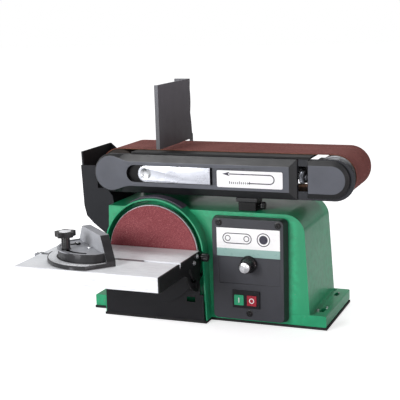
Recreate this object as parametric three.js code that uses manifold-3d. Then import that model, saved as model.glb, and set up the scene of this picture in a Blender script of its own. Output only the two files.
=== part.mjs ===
// Bench belt and disc sander: a 100 x 915 mm belt on a tilting arm and a 150 mm disc with a table.
// Millimetres. +X runs along the belt to the right, +Y to the back, +Z up.
import * as THREE from 'three';
import { mergeVertices } from 'three/addons/utils/BufferGeometryUtils.js';
import Module from 'manifold-3d';

const wasm = await Module();
wasm.setup();

// ---------------------------------------------------------------- driving dimensions
const GAP = 0.3; // air between touching pieces
const THROUGH = 1; // how far a cutter runs past the face it cuts

const disc = { z: 108.4, radius: 75, front: -20.5, paper: 1.4, plate: 6 };
const bay = { radius: 84.4, wall: 2.2, rim: -19, floor: 6, back: 10, flare: 3.4 };
const base = {
  left: -92, right: 247.8, bottom: 4, top: 174.3, depth: 150, wall: 4,
  leftDraft: 0.036, rightDraft: 0.06, frontDraft: 0.02, corner: 30,
};
const flange = { left: -119, right: 272.5, leftTop: 22.5, rightTop: 21.5, slot: 7, slotLength: 18 };
const panel = { left: 97.3, right: 210.6, bottom: 9.6, top: 167.3, front: -13, flareX: 3.8, corner: 7 };
const drum = { x: -80, z: 229, radius: 31.7, front: 38, back: 136, bore: 8.3 };
const idler = { x: 277, radius: 31.7 };
const sandBelt = { front: 37, back: 137, inner: 32, thickness: 1.2 };
const arm = { bottom: 195, top: 257, plateFront: 16.3, plateBack: 19, coverFront: 9.3, rear: 142 };
const motor = { radius: 50, front: 26, back: 122 };
const drive = { front: 155, back: 169, motorPulley: 11, drumPulley: 19, belt: 2.3, shaft: 6 };
const table = {
  left: -153, right: 79, front: -178.6, back: -22.5, top: 116.3, plate: 8, skirt: 22.5,
  slotY: -101.3, slotWidth: 9.5, slotDepth: 6.5,
};
const tilt = { y: -29, z: 108.4, clampRadius: 42 };
const gauge = { x: -54.2, angle: 48, radius: 75.3, half: 62.3, fence: 42.7 };
const fence = { x: 2, thickness: 4, front: 8, back: 142, bottom: 266, top: 366 };
const speed = { x: 155.7, z: 97.5, radius: 13, tip: 8.6, length: 22 };
const switchBox = {
  left: 129, right: 172.5, bottom: 28.5, top: 56, wellBottom: 32.7, wellTop: 49.3,
  start: { left: 131.7, right: 147.3 }, stop: { left: 152.2, right: 167.8 },
};
const dustPort = { x: -52, z: 34, outer: 20, inner: 17.5, end: 178 };
const leverSlot = { x0: -54.6, x1: 91.5, z0: 213, z1: 240 };
const hood = { front: 30, back: 138, wall: 3, top: 255, cheekTop: 233 };
const outlet = { x: -122, z: 165, radius: 19, wall: 2.5, end: 172 };
const motionGap = 1.5; // air round pieces that move past each other

// ---------------------------------------------------------------- materials
function finish(color, roughness, metalness) {
  return new THREE.MeshStandardMaterial({ color, roughness, metalness });
}
const green = finish(0x1f9a6a, 0.35, 0.1);
const blackPlastic = finish(0x26272b, 0.5, 0);
const greyPlastic = finish(0x4a4b55, 0.5, 0);
const blackPaint = finish(0x17181a, 0.45, 0.2);
const rubber = finish(0x101011, 0.8, 0);
const aluminium = finish(0xc9cbd0, 0.35, 0.9);
const steel = finish(0x8f9196, 0.35, 0.9);
const zinc = finish(0xdfe1e6, 0.25, 0.9);
const grit = finish(0x6b2f2c, 0.95, 0);
const white = finish(0xf2f2f4, 0.4, 0);
const copper = finish(0xa9683a, 0.4, 0.7);
const buttonGreen = finish(0x27a877, 0.35, 0);
const buttonRed = finish(0xc22b39, 0.35, 0);

// ---------------------------------------------------------------- solids
function toSolid(geometry) {
  const bare = geometry.clone();
  for (const name of Object.keys(bare.attributes)) {
    if (name !== 'position') {
      bare.deleteAttribute(name);
    }
  }
  const merged = mergeVertices(bare, 1e-3);
  const points = merged.attributes.position.array;
  const faces = [];
  let volume = 0;
  const corner = [new THREE.Vector3(), new THREE.Vector3(), new THREE.Vector3()];
  for (let i = 0; i < merged.index.count; i += 3) {
    const ids = [0, 1, 2].map((k) => merged.index.getX(i + k));
    if (new Set(ids).size < 3) {
      continue;
    }
    ids.forEach((id, k) => corner[k].fromArray(points, 3 * id));
    volume += corner[0].dot(corner[1].clone().cross(corner[2]));
    faces.push(ids);
  }
  if (volume < 0) {
    faces.forEach((ids) => ids.reverse());
  }
  const mesh = new wasm.Mesh({
    numProp: 3,
    vertProperties: new Float32Array(points),
    triVerts: new Uint32Array(faces.flat()),
  });
  return new wasm.Manifold(mesh);
}

function toGeometry(solid) {
  const mesh = solid.getMesh();
  const geometry = new THREE.BufferGeometry();
  geometry.setAttribute('position', new THREE.BufferAttribute(new Float32Array(mesh.vertProperties), 3));
  geometry.setIndex(new THREE.BufferAttribute(new Uint32Array(mesh.triVerts), 1));
  geometry.computeVertexNormals();
  return geometry;
}

function join(...solids) {
  return solids.reduce((whole, next) => whole.add(next));
}

function cut(solid, ...tools) {
  return tools.reduce((rest, tool) => rest.subtract(tool), solid);
}

function block(x0, x1, y0, y1, z0, z1) {
  const box = new THREE.BoxGeometry(x1 - x0, y1 - y0, z1 - z0);
  return toSolid(box.translate((x0 + x1) / 2, (y0 + y1) / 2, (z0 + z1) / 2));
}

// Turns local (x, y, z) so that local Z lies along the named axis.
const upright = {
  x: new THREE.Matrix4().makeBasis(
    new THREE.Vector3(0, 1, 0), new THREE.Vector3(0, 0, 1), new THREE.Vector3(1, 0, 0)),
  y: new THREE.Matrix4().makeBasis(
    new THREE.Vector3(1, 0, 0), new THREE.Vector3(0, 0, 1), new THREE.Vector3(0, -1, 0)),
  z: new THREE.Matrix4(),
};

// A shape drawn across the axis, drawn out from one place on the axis to another.
function prism(axis, shape, from, to, curveSegments = 10) {
  const geometry = new THREE.ExtrudeGeometry(shape, { depth: to - from, bevelEnabled: false, curveSegments });
  geometry.applyMatrix4(upright[axis]);
  const shift = { x: [from, 0, 0], y: [0, to, 0], z: [0, 0, from] }[axis];
  return toSolid(geometry.translate(...shift));
}

// A profile of [radius, place along the axis] points, turned about an axis through (a, b).
function turned(axis, profile, a, b, segments = 24) {
  const points = profile.map(([radius, along]) => new THREE.Vector2(radius, along));
  const geometry = new THREE.LatheGeometry(points, segments);
  if (axis === 'x') {
    geometry.rotateZ(-Math.PI / 2).translate(0, a, b);
  } else if (axis === 'y') {
    geometry.translate(a, 0, b);
  } else {
    geometry.rotateX(Math.PI / 2).translate(a, b, 0);
  }
  return toSolid(geometry);
}

function rod(axis, radius, from, to, a, b, segments = 24) {
  return turned(axis, [[0, from], [radius, from], [radius, to], [0, to]], a, b, segments);
}

function tube(axis, outer, inner, from, to, a, b, segments = 24) {
  const section = [[inner, from], [outer, from], [outer, to], [inner, to], [inner, from]];
  return turned(axis, section, a, b, segments);
}

// Joins two outlines of equally many points, one at each place along Y, into one closed body.
function loft(outlineA, yA, outlineB, yB) {
  const count = outlineA.length;
  const caps = THREE.ShapeUtils.triangulateShape(outlineA, []);
  const points = [
    ...outlineA.map((p) => [p.x, yA, p.y]),
    ...outlineB.map((p) => [p.x, yB, p.y]),
  ];
  const faces = [];
  for (const [a, b, c] of caps) {
    faces.push([a, b, c], [count + c, count + b, count + a]);
  }
  for (let i = 0; i < count; i += 1) {
    const next = (i + 1) % count;
    faces.push([i, count + i, next], [next, count + i, count + next]);
  }
  const geometry = new THREE.BufferGeometry();
  geometry.setAttribute('position', new THREE.Float32BufferAttribute(points.flat(), 3));
  geometry.setIndex(faces.flat());
  return toSolid(geometry);
}

// ---------------------------------------------------------------- outlines
function polygon(points) {
  return new THREE.Shape(points.map(([a, b]) => new THREE.Vector2(a, b)));
}

function roundedRectangle(x0, x1, y0, y1, radius) {
  const shape = new THREE.Shape();
  shape.moveTo(x0 + radius, y0);
  shape.absarc(x1 - radius, y0 + radius, radius, -Math.PI / 2, 0);
  shape.absarc(x1 - radius, y1 - radius, radius, 0, Math.PI / 2);
  shape.absarc(x0 + radius, y1 - radius, radius, Math.PI / 2, Math.PI);
  shape.absarc(x0 + radius, y0 + radius, radius, Math.PI, 1.5 * Math.PI);
  return shape;
}

// A slot with one round end on the left and a square end on the right.
function roundLeftSlot(x0, x1, z0, z1) {
  const radius = (z1 - z0) / 2;
  const shape = new THREE.Shape();
  shape.moveTo(x1, z0);
  shape.lineTo(x1, z1);
  shape.absarc(x0 + radius, z0 + radius, radius, Math.PI / 2, 1.5 * Math.PI);
  return shape;
}

// A round grip with lobes.
function starOutline(a, b, radius, lobe, lobes, steps = 60) {
  const points = [];
  for (let i = 0; i < steps; i += 1) {
    const angle = 2 * Math.PI * i / steps;
    const reach = radius + lobe * Math.cos(lobes * angle);
    points.push([a + reach * Math.cos(angle), b + reach * Math.sin(angle)]);
  }
  return polygon(points);
}

// The straight band round two circles of one radius, lying along X.
function capsule(xA, xB, z, radius) {
  const shape = new THREE.Shape();
  shape.absarc(xB, z, radius, -Math.PI / 2, Math.PI / 2);
  shape.absarc(xA, z, radius, Math.PI / 2, 1.5 * Math.PI);
  return shape;
}

// The band round two circles at any places, as a belt runs round two pulleys.
function pulleyBand(a, radiusA, b, radiusB) {
  const along = Math.atan2(b.z - a.z, b.x - a.x);
  const span = Math.hypot(b.x - a.x, b.z - a.z);
  const lean = Math.acos((radiusA - radiusB) / span);
  const shape = new THREE.Shape();
  shape.absarc(b.x, b.z, radiusB, along - lean, along + lean);
  shape.absarc(a.x, a.z, radiusA, along + lean, along - lean + 2 * Math.PI);
  return shape;
}

// ---------------------------------------------------------------- the assembly
const sander = new THREE.Group();
sander.name = 'belt_disc_sander';

function add(name, solid, material, parent = sander) {
  const mesh = new THREE.Mesh(toGeometry(solid), material);
  mesh.name = name;
  parent.add(mesh);
  return mesh;
}

// ---------------------------------------------------------------- base
function bodyOutline(inset) {
  const { left, right, leftDraft, rightDraft, corner } = base;
  const bottom = inset > 0 ? base.bottom - THROUGH : base.bottom;
  const top = base.top - inset;
  const radius = corner - inset;
  const wallAt = (z) => right - inset - rightDraft * z;
  const shape = new THREE.Shape();
  shape.moveTo(left + inset + leftDraft * bottom, bottom);
  shape.lineTo(wallAt(bottom), bottom);
  shape.lineTo(wallAt(top - radius), top - radius);
  shape.absarc(wallAt(top - radius) - radius, top - radius, radius, 0, Math.PI / 2);
  shape.lineTo(left + inset + leftDraft * top, top);
  return shape;
}

function bayOutline(inset, bottom) {
  const radius = bay.radius - inset;
  const foot = radius + bay.flare;
  const shape = new THREE.Shape();
  shape.moveTo(foot, bottom);
  shape.lineTo(radius, disc.z);
  shape.absarc(0, disc.z, radius, 0, Math.PI);
  shape.lineTo(-foot, bottom);
  return shape;
}

// Leans the front and back walls of a body in towards its top.
function draftedBody(shape, from, to) {
  const lean = (y, z) => base.frontDraft * z * (1 - 2 * y / base.depth);
  const geometry = new THREE.ExtrudeGeometry(shape, { depth: to - from, bevelEnabled: false, curveSegments: 10 });
  geometry.applyMatrix4(upright.y).translate(0, to, 0);
  const place = geometry.attributes.position;
  for (let i = 0; i < place.count; i += 1) {
    place.setY(i, place.getY(i) + lean(place.getY(i), place.getZ(i)));
  }
  return toSolid(geometry);
}

// The two bolt-down slots in each foot flange.
function boltSlots() {
  const slots = [];
  for (const x of [(flange.left + base.left) / 2 + 0.5, (flange.right + base.right) / 2 - 1]) {
    for (const y of [30, 118]) {
      const slot = roundedRectangle(x - flange.slot / 2, x + flange.slot / 2,
        y - flange.slotLength / 2, y + flange.slotLength / 2, flange.slot / 2 - 0.1);
      slots.push(prism('z', slot, -THROUGH, 30, 2));
    }
  }
  return slots;
}

function baseHousing() {
  const { depth, wall, bottom } = base;
  const ring = prism('y', bayOutline(0, bottom), bay.rim, bay.back, 16);
  const rightFlange = prism('y', roundedRectangle(base.right - 10, flange.right, bottom, flange.rightTop, 2), 0, depth);
  const leftFlange = prism('y', roundedRectangle(flange.left, base.left + 10, bottom, flange.leftTop, 2), 6, depth);
  const outside = join(draftedBody(bodyOutline(0), 0, depth), ring, rightFlange, leftFlange);
  const cavity = cut(draftedBody(bodyOutline(wall), wall, depth - wall), ring);
  const bayInside = prism('y', bayOutline(bay.wall, bottom - THROUGH), bay.rim - THROUGH, bay.floor, 16);
  const gutter = block(base.right - 0.5, base.right + 5, 5, depth - 5, flange.rightTop - 1.5,
    flange.rightTop + THROUGH);
  const panelOpening = block(104, 204, -THROUGH, 12, 22, 158);
  const vents = [];
  for (let i = 0; i < 7; i += 1) {
    vents.push(block(120, 200, depth - 12, depth + THROUGH, 60 + 12 * i, 65 + 12 * i));
  }
  return cut(outside, cavity, bayInside, panelOpening, gutter, ...boltSlots(), ...vents,
    rod('y', 12, bay.floor - THROUGH, bay.back + THROUGH, 0, disc.z),
    rod('y', 20, depth - 12, depth + THROUGH, 0, disc.z),
    rod('y', dustPort.outer + GAP, bay.floor - THROUGH, bay.back + THROUGH, dustPort.x, dustPort.z),
    rod('y', dustPort.outer + GAP, depth - 12, depth + THROUGH, dustPort.x, dustPort.z),
    rod('y', 9, depth - 12, depth + THROUGH, 215, 30));
}

function basePlate() {
  const outline = new THREE.Shape();
  const frontFoot = bay.radius + bay.flare;
  outline.moveTo(-frontFoot, bay.rim - 3.5);
  outline.lineTo(frontFoot, bay.rim - 3.5);
  outline.lineTo(frontFoot, -1);
  outline.lineTo(flange.right + 1, -1);
  outline.lineTo(flange.right + 1, base.depth + 1);
  outline.lineTo(flange.left - 1, base.depth + 1);
  outline.lineTo(flange.left - 1, 4);
  outline.lineTo(-frontFoot, 4);
  const slots = [];
  for (let i = 0; i < 8; i += 1) {
    slots.push(block(40 + 18 * i, 49 + 18 * i, 40, 110, -THROUGH, base.bottom));
  }
  return cut(prism('z', outline, 0, base.bottom - GAP), ...slots, ...boltSlots());
}

function lowerDiscGuard() {
  const front = disc.front - 2.8;
  const back = disc.front - 0.7;
  const top = 92;
  const skirt = new THREE.Shape();
  skirt.moveTo(-84.5, base.bottom + GAP);
  skirt.lineTo(84.5, base.bottom + GAP);
  skirt.lineTo(83.2, top);
  skirt.lineTo(-83.2, top);
  const bulge = new THREE.Shape();
  const reach = 81.5;
  const half = Math.asin((disc.z - top) / reach);
  bulge.absarc(0, disc.z, reach, Math.PI + half, 2 * Math.PI - half);
  const slotCut = block(56, 70, front - THROUGH, back + THROUGH, 33.6, 41.6);
  const sides = [-1, 1].map((side) => block(
    Math.min(side * 81, side * 83), Math.max(side * 81, side * 83), back, bay.rim - GAP, 12, top));
  // The table's end plate swings back through this notch as the table tilts.
  const notch = block(table.right - motionGap / 2, 90, front - 4, bay.rim, 46, top + THROUGH);
  return cut(join(prism('y', skirt, front, back), prism('y', bulge, front - 2.4, front, 14), ...sides),
    slotCut, notch);
}

// Arched cover over the part of the disc bay that stands above the base.
function upperDiscGuard() {
  const inner = bay.radius + GAP;
  const outer = inner + 2;
  const half = 0.6;
  const shape = new THREE.Shape();
  shape.absarc(0, disc.z, outer, Math.PI / 2 - half, Math.PI / 2 + half - 0.12, false);
  shape.absarc(0, disc.z, inner, Math.PI / 2 + half - 0.12, Math.PI / 2 - half, true);
  return prism('y', shape, bay.rim + 6, 7, 8);
}

function controlPanel() {
  const { left, right, bottom, top, front, flareX, corner } = panel;
  const face = roundedRectangle(left, right, bottom, top, corner).getPoints(4);
  const foot = roundedRectangle(left - flareX, right + flareX, bottom - 3, top + 1.5, corner + 1).getPoints(4);
  const outside = loft(face, front, foot, 1.2);
  const wall = 2.5;
  const room = block(left + wall, right - wall, front + wall, 8, bottom + wall + 8, top - 5);
  // The rear follows the lean of the housing's front wall.
  const lean = polygon([[-GAP, 0], [base.frontDraft * base.top - GAP, base.top], [30, base.top], [30, 0]]);
  return cut(outside, room, prism('x', lean, left - 20, right + 20),
    block(107, 204.5, front - THROUGH, front + 1, 66, 108),
    rod('y', speed.radius + 0.8, front - THROUGH, front + 1, speed.x, speed.z, 32),
    rod('y', 4.5, front - THROUGH, front + 5, speed.x, speed.z),
    block(switchBox.left + 2.7, switchBox.right - 2.7, front - THROUGH, front + 5,
      switchBox.bottom + 1.7, switchBox.top - 2.7));
}

function labelPlate() {
  const knobRoom = rod('y', speed.radius + 0.8, panel.front - 2, panel.front + THROUGH, speed.x, speed.z, 32);
  return cut(block(104.8, 205.5, panel.front - 0.8, panel.front - GAP / 2, 108.8, 153), knobRoom);
}

function speedKnob() {
  const { x, z, radius, tip, length } = speed;
  const foot = panel.front + 1 - GAP;
  const body = turned('y', [[0, foot], [radius, foot], [radius, foot - 5], [tip + 1, foot - length + 1],
    [tip, foot - length + 1], [tip, foot - length + 2], [0, foot - length + 2]], x, z, 24);
  const ridges = [];
  for (let i = 0; i < 12; i += 1) {
    const angle = i * Math.PI / 6;
    ridges.push(rod('y', 1.2, foot - length, foot - 5.5, x + 12 * Math.cos(angle), z + 12 * Math.sin(angle), 6));
  }
  const stem = rod('y', 3, foot - 2, foot + 14, x, z, 12);
  return join(cut(body, ...ridges), stem);
}

function speedKnobCap() {
  const { x, z, tip, length } = speed;
  const front = panel.front + 1 - GAP - length;
  return turned('y', [[0, front - 0.6], [tip - 1.6, front - 0.6], [tip - 0.4, front + 0.4],
    [tip - 0.4, front + 1.7], [0, front + 1.7]], x, z, 24);
}

function speedControl() {
  const { x, z } = speed;
  const board = block(x - 28, x + 34, 8, 9.6, z - 24, z + 28);
  const pot = rod('y', 8, 3.2, 8.2, x, z, 16);
  const chips = join(block(x + 12, x + 30, 9, 22, z - 16, z - 4), rod('y', 6, 9, 24, x + 20, z + 14, 12));
  return cut(join(board, pot, chips), rod('y', 3.3, 0, 12, x, z, 12));
}

function switchBody() {
  const { left, right, bottom, top, wellBottom, wellTop } = switchBox;
  const face = panel.front;
  const rim = block(left, right, face - 2.4, face - GAP / 2, bottom, top);
  const shell = block(left + 3, right - 3, face - 0.5, face + 26, bottom + 2, top - 3);
  const wells = [switchBox.start, switchBox.stop].map((button) =>
    block(button.left, button.right, face - 4, face + 6, wellBottom, wellTop));
  return cut(join(rim, shell), ...wells);
}

function switchButton(button) {
  const { wellBottom, wellTop } = switchBox;
  return block(button.left + GAP, button.right - GAP, panel.front - 3.4, panel.front + 2.4,
    wellBottom + GAP, wellTop - GAP);
}

function buildBase() {
  add('base_plate', basePlate(), rubber);
  add('base_housing', baseHousing(), green);
  add('lower_disc_guard', lowerDiscGuard(), blackPlastic);
  add('upper_disc_guard', upperDiscGuard(), greyPlastic);
  add('disc_dust_port', tube('y', dustPort.outer, dustPort.inner, bay.floor, dustPort.end,
    dustPort.x, dustPort.z, 28), blackPlastic);
  add('cable_gland', cut(turned('y', [[0, 142], [8.6, 142], [8.6, 150.4], [12, 150.4], [12, 153], [7, 166],
    [0, 166]], 215, 30, 20), rod('y', 3.6, 141, 167, 215, 30, 12)), rubber);
  add('control_panel', controlPanel(), blackPlastic);
  add('label_plate', labelPlate(), white);
  add('speed_control_board', speedControl(), buttonGreen);
  add('speed_knob', speedKnob(), blackPlastic);
  add('speed_knob_cap', speedKnobCap(), zinc);
  add('switch_body', switchBody(), blackPlastic);
  add('start_button', switchButton(switchBox.start), buttonGreen);
  add('stop_button', switchButton(switchBox.stop), buttonRed);
}

// ---------------------------------------------------------------- motor and drive
function buildDrive() {
  const { front, back, radius } = motor;
  const z = disc.z;
  const fins = [];
  for (let i = 0; i < 10; i += 1) {
    const angle = (i + 0.5) * Math.PI / 5;
    const fin = block(radius - 2, radius + 5, front + 12, back - 12, -1.5, 1.5);
    fins.push(fin.rotate([0, -angle * 180 / Math.PI, 0]).translate([0, 0, z]));
  }
  const bellDepth = 10;
  add('motor_housing', join(tube('y', radius, radius - 5, front + bellDepth, back - bellDepth, 0, z, 28),
    ...fins), steel);
  const bell = (from, to, seat) => cut(rod('y', radius, from, to, 0, z, 28), rod('y', 9, from - 1, to + 1, 0, z),
    rod('y', seat.radius, seat.from, seat.to, 0, z));
  add('motor_front_bell', bell(front, front + bellDepth - GAP, { radius: 16, from: front + 3, to: back }), aluminium);
  add('motor_rear_bell', bell(back - bellDepth + GAP, back, { radius: 16, from: 0, to: back - 3 }), aluminium);
  for (const [name, from] of [['motor_front_bearing', front + 3 + GAP], ['motor_rear_bearing', back - 10.3 + GAP]]) {
    add(name, tube('y', 15.7, 8.3, from, from + 6.4, 0, z, 16), steel);
  }
  add('stator_winding', tube('y', radius - 5.3, 30, front + 14, back - 14, 0, z, 24), copper);
  add('rotor_shaft', turned('y', [[0, disc.front + 3.6], [8, disc.front + 3.6], [8, front + 20], [26, front + 20],
    [26, back - 20], [8, back - 20], [8, drive.front - 6], [drive.shaft, drive.front - 6],
    [drive.shaft, drive.back + 4], [0, drive.back + 4]], 0, z, 18), steel);
  const blades = [];
  for (let i = 0; i < 8; i += 1) {
    const blade = block(10, 34, back + 3, back + 14, -1, 1);
    blades.push(blade.rotate([0, i * 45, 0]).translate([0, 0, z]));
  }
  add('motor_fan', cut(join(tube('y', 12, 8.3, back + 3, back + 14, 0, z, 16),
    tube('y', 34, 8.3, back + 12, back + 14, 0, z, 24), ...blades), rod('y', 8.3, back, back + 20, 0, z, 16)), blackPlastic);
  const pulley = (bore, outer, x, height) => turned('y', [[bore, drive.front - 2],
    [outer + 2, drive.front - 2], [outer + 2, drive.front - 0.5], [outer, drive.front - 0.5],
    [outer, drive.back + 0.5], [outer + 2, drive.back + 0.5], [outer + 2, drive.back + 2],
    [bore, drive.back + 2], [bore, drive.front - 2]], x, height, 20);
  add('motor_pulley', pulley(drive.shaft + GAP, drive.motorPulley, 0, z), steel);
  add('drum_pulley', pulley(drum.bore, drive.drumPulley, drum.x, drum.z), steel);
  const centres = [{ x: 0, z }, { x: drum.x, z: drum.z }];
  const bandOuter = pulleyBand(centres[0], drive.motorPulley + drive.belt, centres[1],
    drive.drumPulley + drive.belt);
  const bandInner = pulleyBand(centres[0], drive.motorPulley + GAP, centres[1],
    drive.drumPulley + GAP);
  add('timing_belt', cut(prism('y', bandOuter, drive.front, drive.back, 8),
    prism('y', bandInner, drive.front - 1, drive.back + 1, 8)), rubber);
  const coverOuter = pulleyBand(centres[0], 32, centres[1], 25);
  const coverInner = pulleyBand(centres[0], 29, centres[1], 22.4);
  add('belt_cover', cut(prism('y', coverOuter, base.depth + 0.6, 181, 16),
    prism('y', coverInner, base.depth - 1, 178.5, 16), rod('y', 24, base.depth, base.depth + 2, 20, z - 20)), blackPlastic);
}

// Rear casting that stands on the base and holds the drive drum's bearing and the arm's pivot.
function armSupport() {
  const foot = base.top + GAP;
  const outline = new THREE.Shape();
  outline.moveTo(-84, foot);
  outline.lineTo(30, foot);
  outline.lineTo(-46, drum.z - 4);
  outline.absarc(drum.x, drum.z, 24, -0.1, Math.PI);
  const web = prism('y', outline, 144.6, 149.6, 14);
  const ledge = block(-80, 26, 122, 145, foot, foot + 6);
  const boss = rod('y', 19, 142.4, 150, drum.x, drum.z);
  return cut(join(web, ledge, boss), rod('y', 8.4, 140, 152, drum.x, drum.z),
    rod('y', 15.3, 144, 152, drum.x, drum.z));
}

function buildDrum() {
  add('arm_support', armSupport(), blackPaint);
  add('drum_bearing', tube('y', 15, 8.4, 144.3, 149.6, drum.x, drum.z, 24), steel);
  add('drum_shaft', rod('y', 8, 24, drive.back + 5, drum.x, drum.z, 24), steel);
  add('drive_drum', tube('y', drum.radius, drum.bore, drum.front, drum.back, drum.x, drum.z, 40), rubber);
}

// ---------------------------------------------------------------- disc
function buildDisc() {
  const { radius, front, paper, plate, z } = disc;
  const faceBack = front + paper;
  add('abrasive_disc', rod('y', radius - 1, front, faceBack, 0, z, 64), grit);
  const rimDepth = faceBack + GAP + plate;
  add('disc_plate', cut(turned('y', [[0, faceBack + GAP / 2], [radius, faceBack + GAP / 2],
    [radius, rimDepth], [radius - 6, rimDepth], [radius - 8, rimDepth - 2], [16, rimDepth - 2],
    [14, rimDepth + 10], [0, rimDepth + 10]], 0, z, 64), rod('y', 8.3, front + 3.2, 30, 0, z)), aluminium);
}

// ---------------------------------------------------------------- belt arm
// The front cover's edge and its raised middle, point for point, inset by a bevel that runs
// out to nothing at the round left end.
function armCoverOutline(inset, steps = 24) {
  const centre = { x: -82, z: (arm.bottom + arm.top) / 2 };
  const radius = (arm.top - arm.bottom) / 2;
  const endInset = Math.min(inset, 3);
  const right = 225 - inset;
  const ease = (x) => endInset + (inset - endInset) * THREE.MathUtils.smoothstep(x, centre.x, -50);
  const along = [-76, -68, -60, -50];
  const points = [];
  for (let i = 0; i <= steps; i += 1) {
    const angle = Math.PI / 2 + Math.PI * i / steps;
    const reach = radius - endInset;
    points.push(new THREE.Vector2(centre.x + reach * Math.cos(angle), centre.z + reach * Math.sin(angle)));
  }
  along.forEach((x) => points.push(new THREE.Vector2(x, arm.bottom + ease(x))));
  points.push(new THREE.Vector2(right, arm.bottom + inset));
  points.push(new THREE.Vector2(right, arm.top - inset));
  along.reverse().forEach((x) => points.push(new THREE.Vector2(x, arm.top - ease(x))));
  return points;
}

function armCover() {
  const shoulder = 13.6;
  const back = arm.plateFront - GAP;
  const raised = loft(armCoverOutline(11.5), arm.coverFront, armCoverOutline(0), shoulder);
  const foot = loft(armCoverOutline(0), shoulder, armCoverOutline(0), back);
  return cut(join(raised, foot), prism('y', roundLeftSlot(leverSlot.x0, leverSlot.x1, leverSlot.z0, leverSlot.z1),
    arm.coverFront - THROUGH, back + THROUGH, 12));
}

function idlerCoverOutline(inset, steps = 24) {
  const low = 199 + inset;
  const high = 256 - inset;
  const middle = (low + high) / 2;
  const radius = (high - low) / 2;
  const centre = 305 - 0.8 * inset - radius;
  const left = 241.3 + 0.2 * inset;
  const points = [new THREE.Vector2(left, high), new THREE.Vector2(left, low)];
  for (let i = 0; i <= steps; i += 1) {
    const angle = -Math.PI / 2 + Math.PI * i / steps;
    points.push(new THREE.Vector2(centre + radius * Math.cos(angle), middle + radius * Math.sin(angle)));
  }
  return points;
}

function idlerCover() {
  const shoulder = 12.4;
  const back = arm.plateFront - GAP;
  return join(loft(idlerCoverOutline(7.5), arm.coverFront, idlerCoverOutline(0), shoulder),
    loft(idlerCoverOutline(0), shoulder, idlerCoverOutline(0), back));
}

function armFrame() {
  const middle = (arm.bottom + arm.top) / 2;
  const radius = (arm.top - arm.bottom) / 2;
  const plate = prism('y', capsule(-82, 281, middle, radius), arm.plateFront, arm.plateBack, 10);
  const knobGap = block(225.5, 266, arm.plateFront - THROUGH, arm.plateBack + THROUGH, 208, 246);
  const pivotHole = rod('y', 9, arm.plateFront - THROUGH, arm.plateBack + THROUGH, drum.x, drum.z);
  const crossBars = [[-34, -26], [60, 68], [188, 196]].map(([x0, x1]) =>
    block(x0, x1, arm.plateBack - 0.5, arm.rear - 2, 208, 250));
  const rearPlate = prism('y', capsule(drum.x, 184, middle, 24), arm.rear - 3.4, arm.rear - 0.6, 8);
  const rearHole = rod('y', 20, 130, 150, drum.x, drum.z);
  const stopTab = block(8, 34, arm.rear - 3.4, arm.rear - 0.6, middle, 257);
  return cut(join(cut(plate, knobGap), ...crossBars, cut(join(rearPlate, stopTab), rearHole)), pivotHole);
}

function platen() {
  const inside = drum.z + sandBelt.inner - GAP;
  const plate = block(-46, 246, 12, 138, inside - 3, inside);
  const lip = block(-46, 246, 11, 12.5, inside - 3, inside);
  const ribs = [30, 120].map((y) => block(-20, 220, y, y + 3, inside - 9, inside - 2.5));
  return cut(join(plate, lip, ...ribs), block(-36, -24, 25, 130, 240, inside - 3.01),
    block(58, 70, 25, 130, 240, inside - 3.01), block(186, 198, 25, 130, 240, inside - 3.01));
}

function sandingBelt() {
  const inner = capsule(drum.x, idler.x, drum.z, sandBelt.inner);
  const outer = capsule(drum.x, idler.x, drum.z, sandBelt.inner + sandBelt.thickness);
  return cut(prism('y', outer, sandBelt.front, sandBelt.back, 14),
    prism('y', inner, sandBelt.front - 1, sandBelt.back + 1, 14));
}

function tensionLever() {
  const slot = leverSlot;
  const clear = 0.6;
  const plate = prism('y', roundLeftSlot(-34.7, 87, slot.z0 + clear, slot.z1 - clear), 9.6, 12.4, 12);
  const dimple = turned('y', [[0, 10.6], [4, 10.4], [7, 9.9], [8.5, 9.0], [0, 9.0]], -34.7 + 13, (slot.z0 + slot.z1) / 2, 20);
  const hinge = rod('z', 2.2, slot.z0 + clear + 1, slot.z1 - clear - 1, 84, 12.6, 12);
  return cut(join(plate, hinge), dimple);
}

function idlerBlock() {
  const low = drum.z - 11;
  const high = drum.z + 11;
  const front = block(228, 290, 33.4, 36.4, low, high);
  const rear = block(228, 290, 138, 141, low, high);
  const web = block(228, 236, 33.4, 141, low, high);
  return cut(join(front, rear, web), rod('y', 6.3, 30, 142, idler.x, drum.z, 16));
}

function spring(x0, x1, y, z, radius, wire, turns) {
  class Coil extends THREE.Curve {
    getPoint(t) {
      const angle = 2 * Math.PI * turns * t;
      return new THREE.Vector3(x0 + (x1 - x0) * t, y + radius * Math.cos(angle), z + radius * Math.sin(angle));
    }
  }
  const section = new THREE.Shape();
  section.absarc(0, 0, wire, 0, 2 * Math.PI);
  return toSolid(new THREE.ExtrudeGeometry(section, {
    steps: 10 * turns, extrudePath: new Coil(), curveSegments: 2, bevelEnabled: false }));
}

function trackingKnob() {
  const y = 21.6;
  const z = drum.z;
  const radius = 10;
  const notches = [];
  for (let i = 0; i < 16; i += 1) {
    const angle = i * Math.PI / 8;
    notches.push(rod('x', 1, 226, 238, y + radius * Math.cos(angle), z + radius * Math.sin(angle), 6));
  }
  const wheel = cut(rod('x', radius, 228, 236, y, z, 32), ...notches);
  return join(wheel, rod('x', 3, 235, 262, y, z, 12));
}

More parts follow.
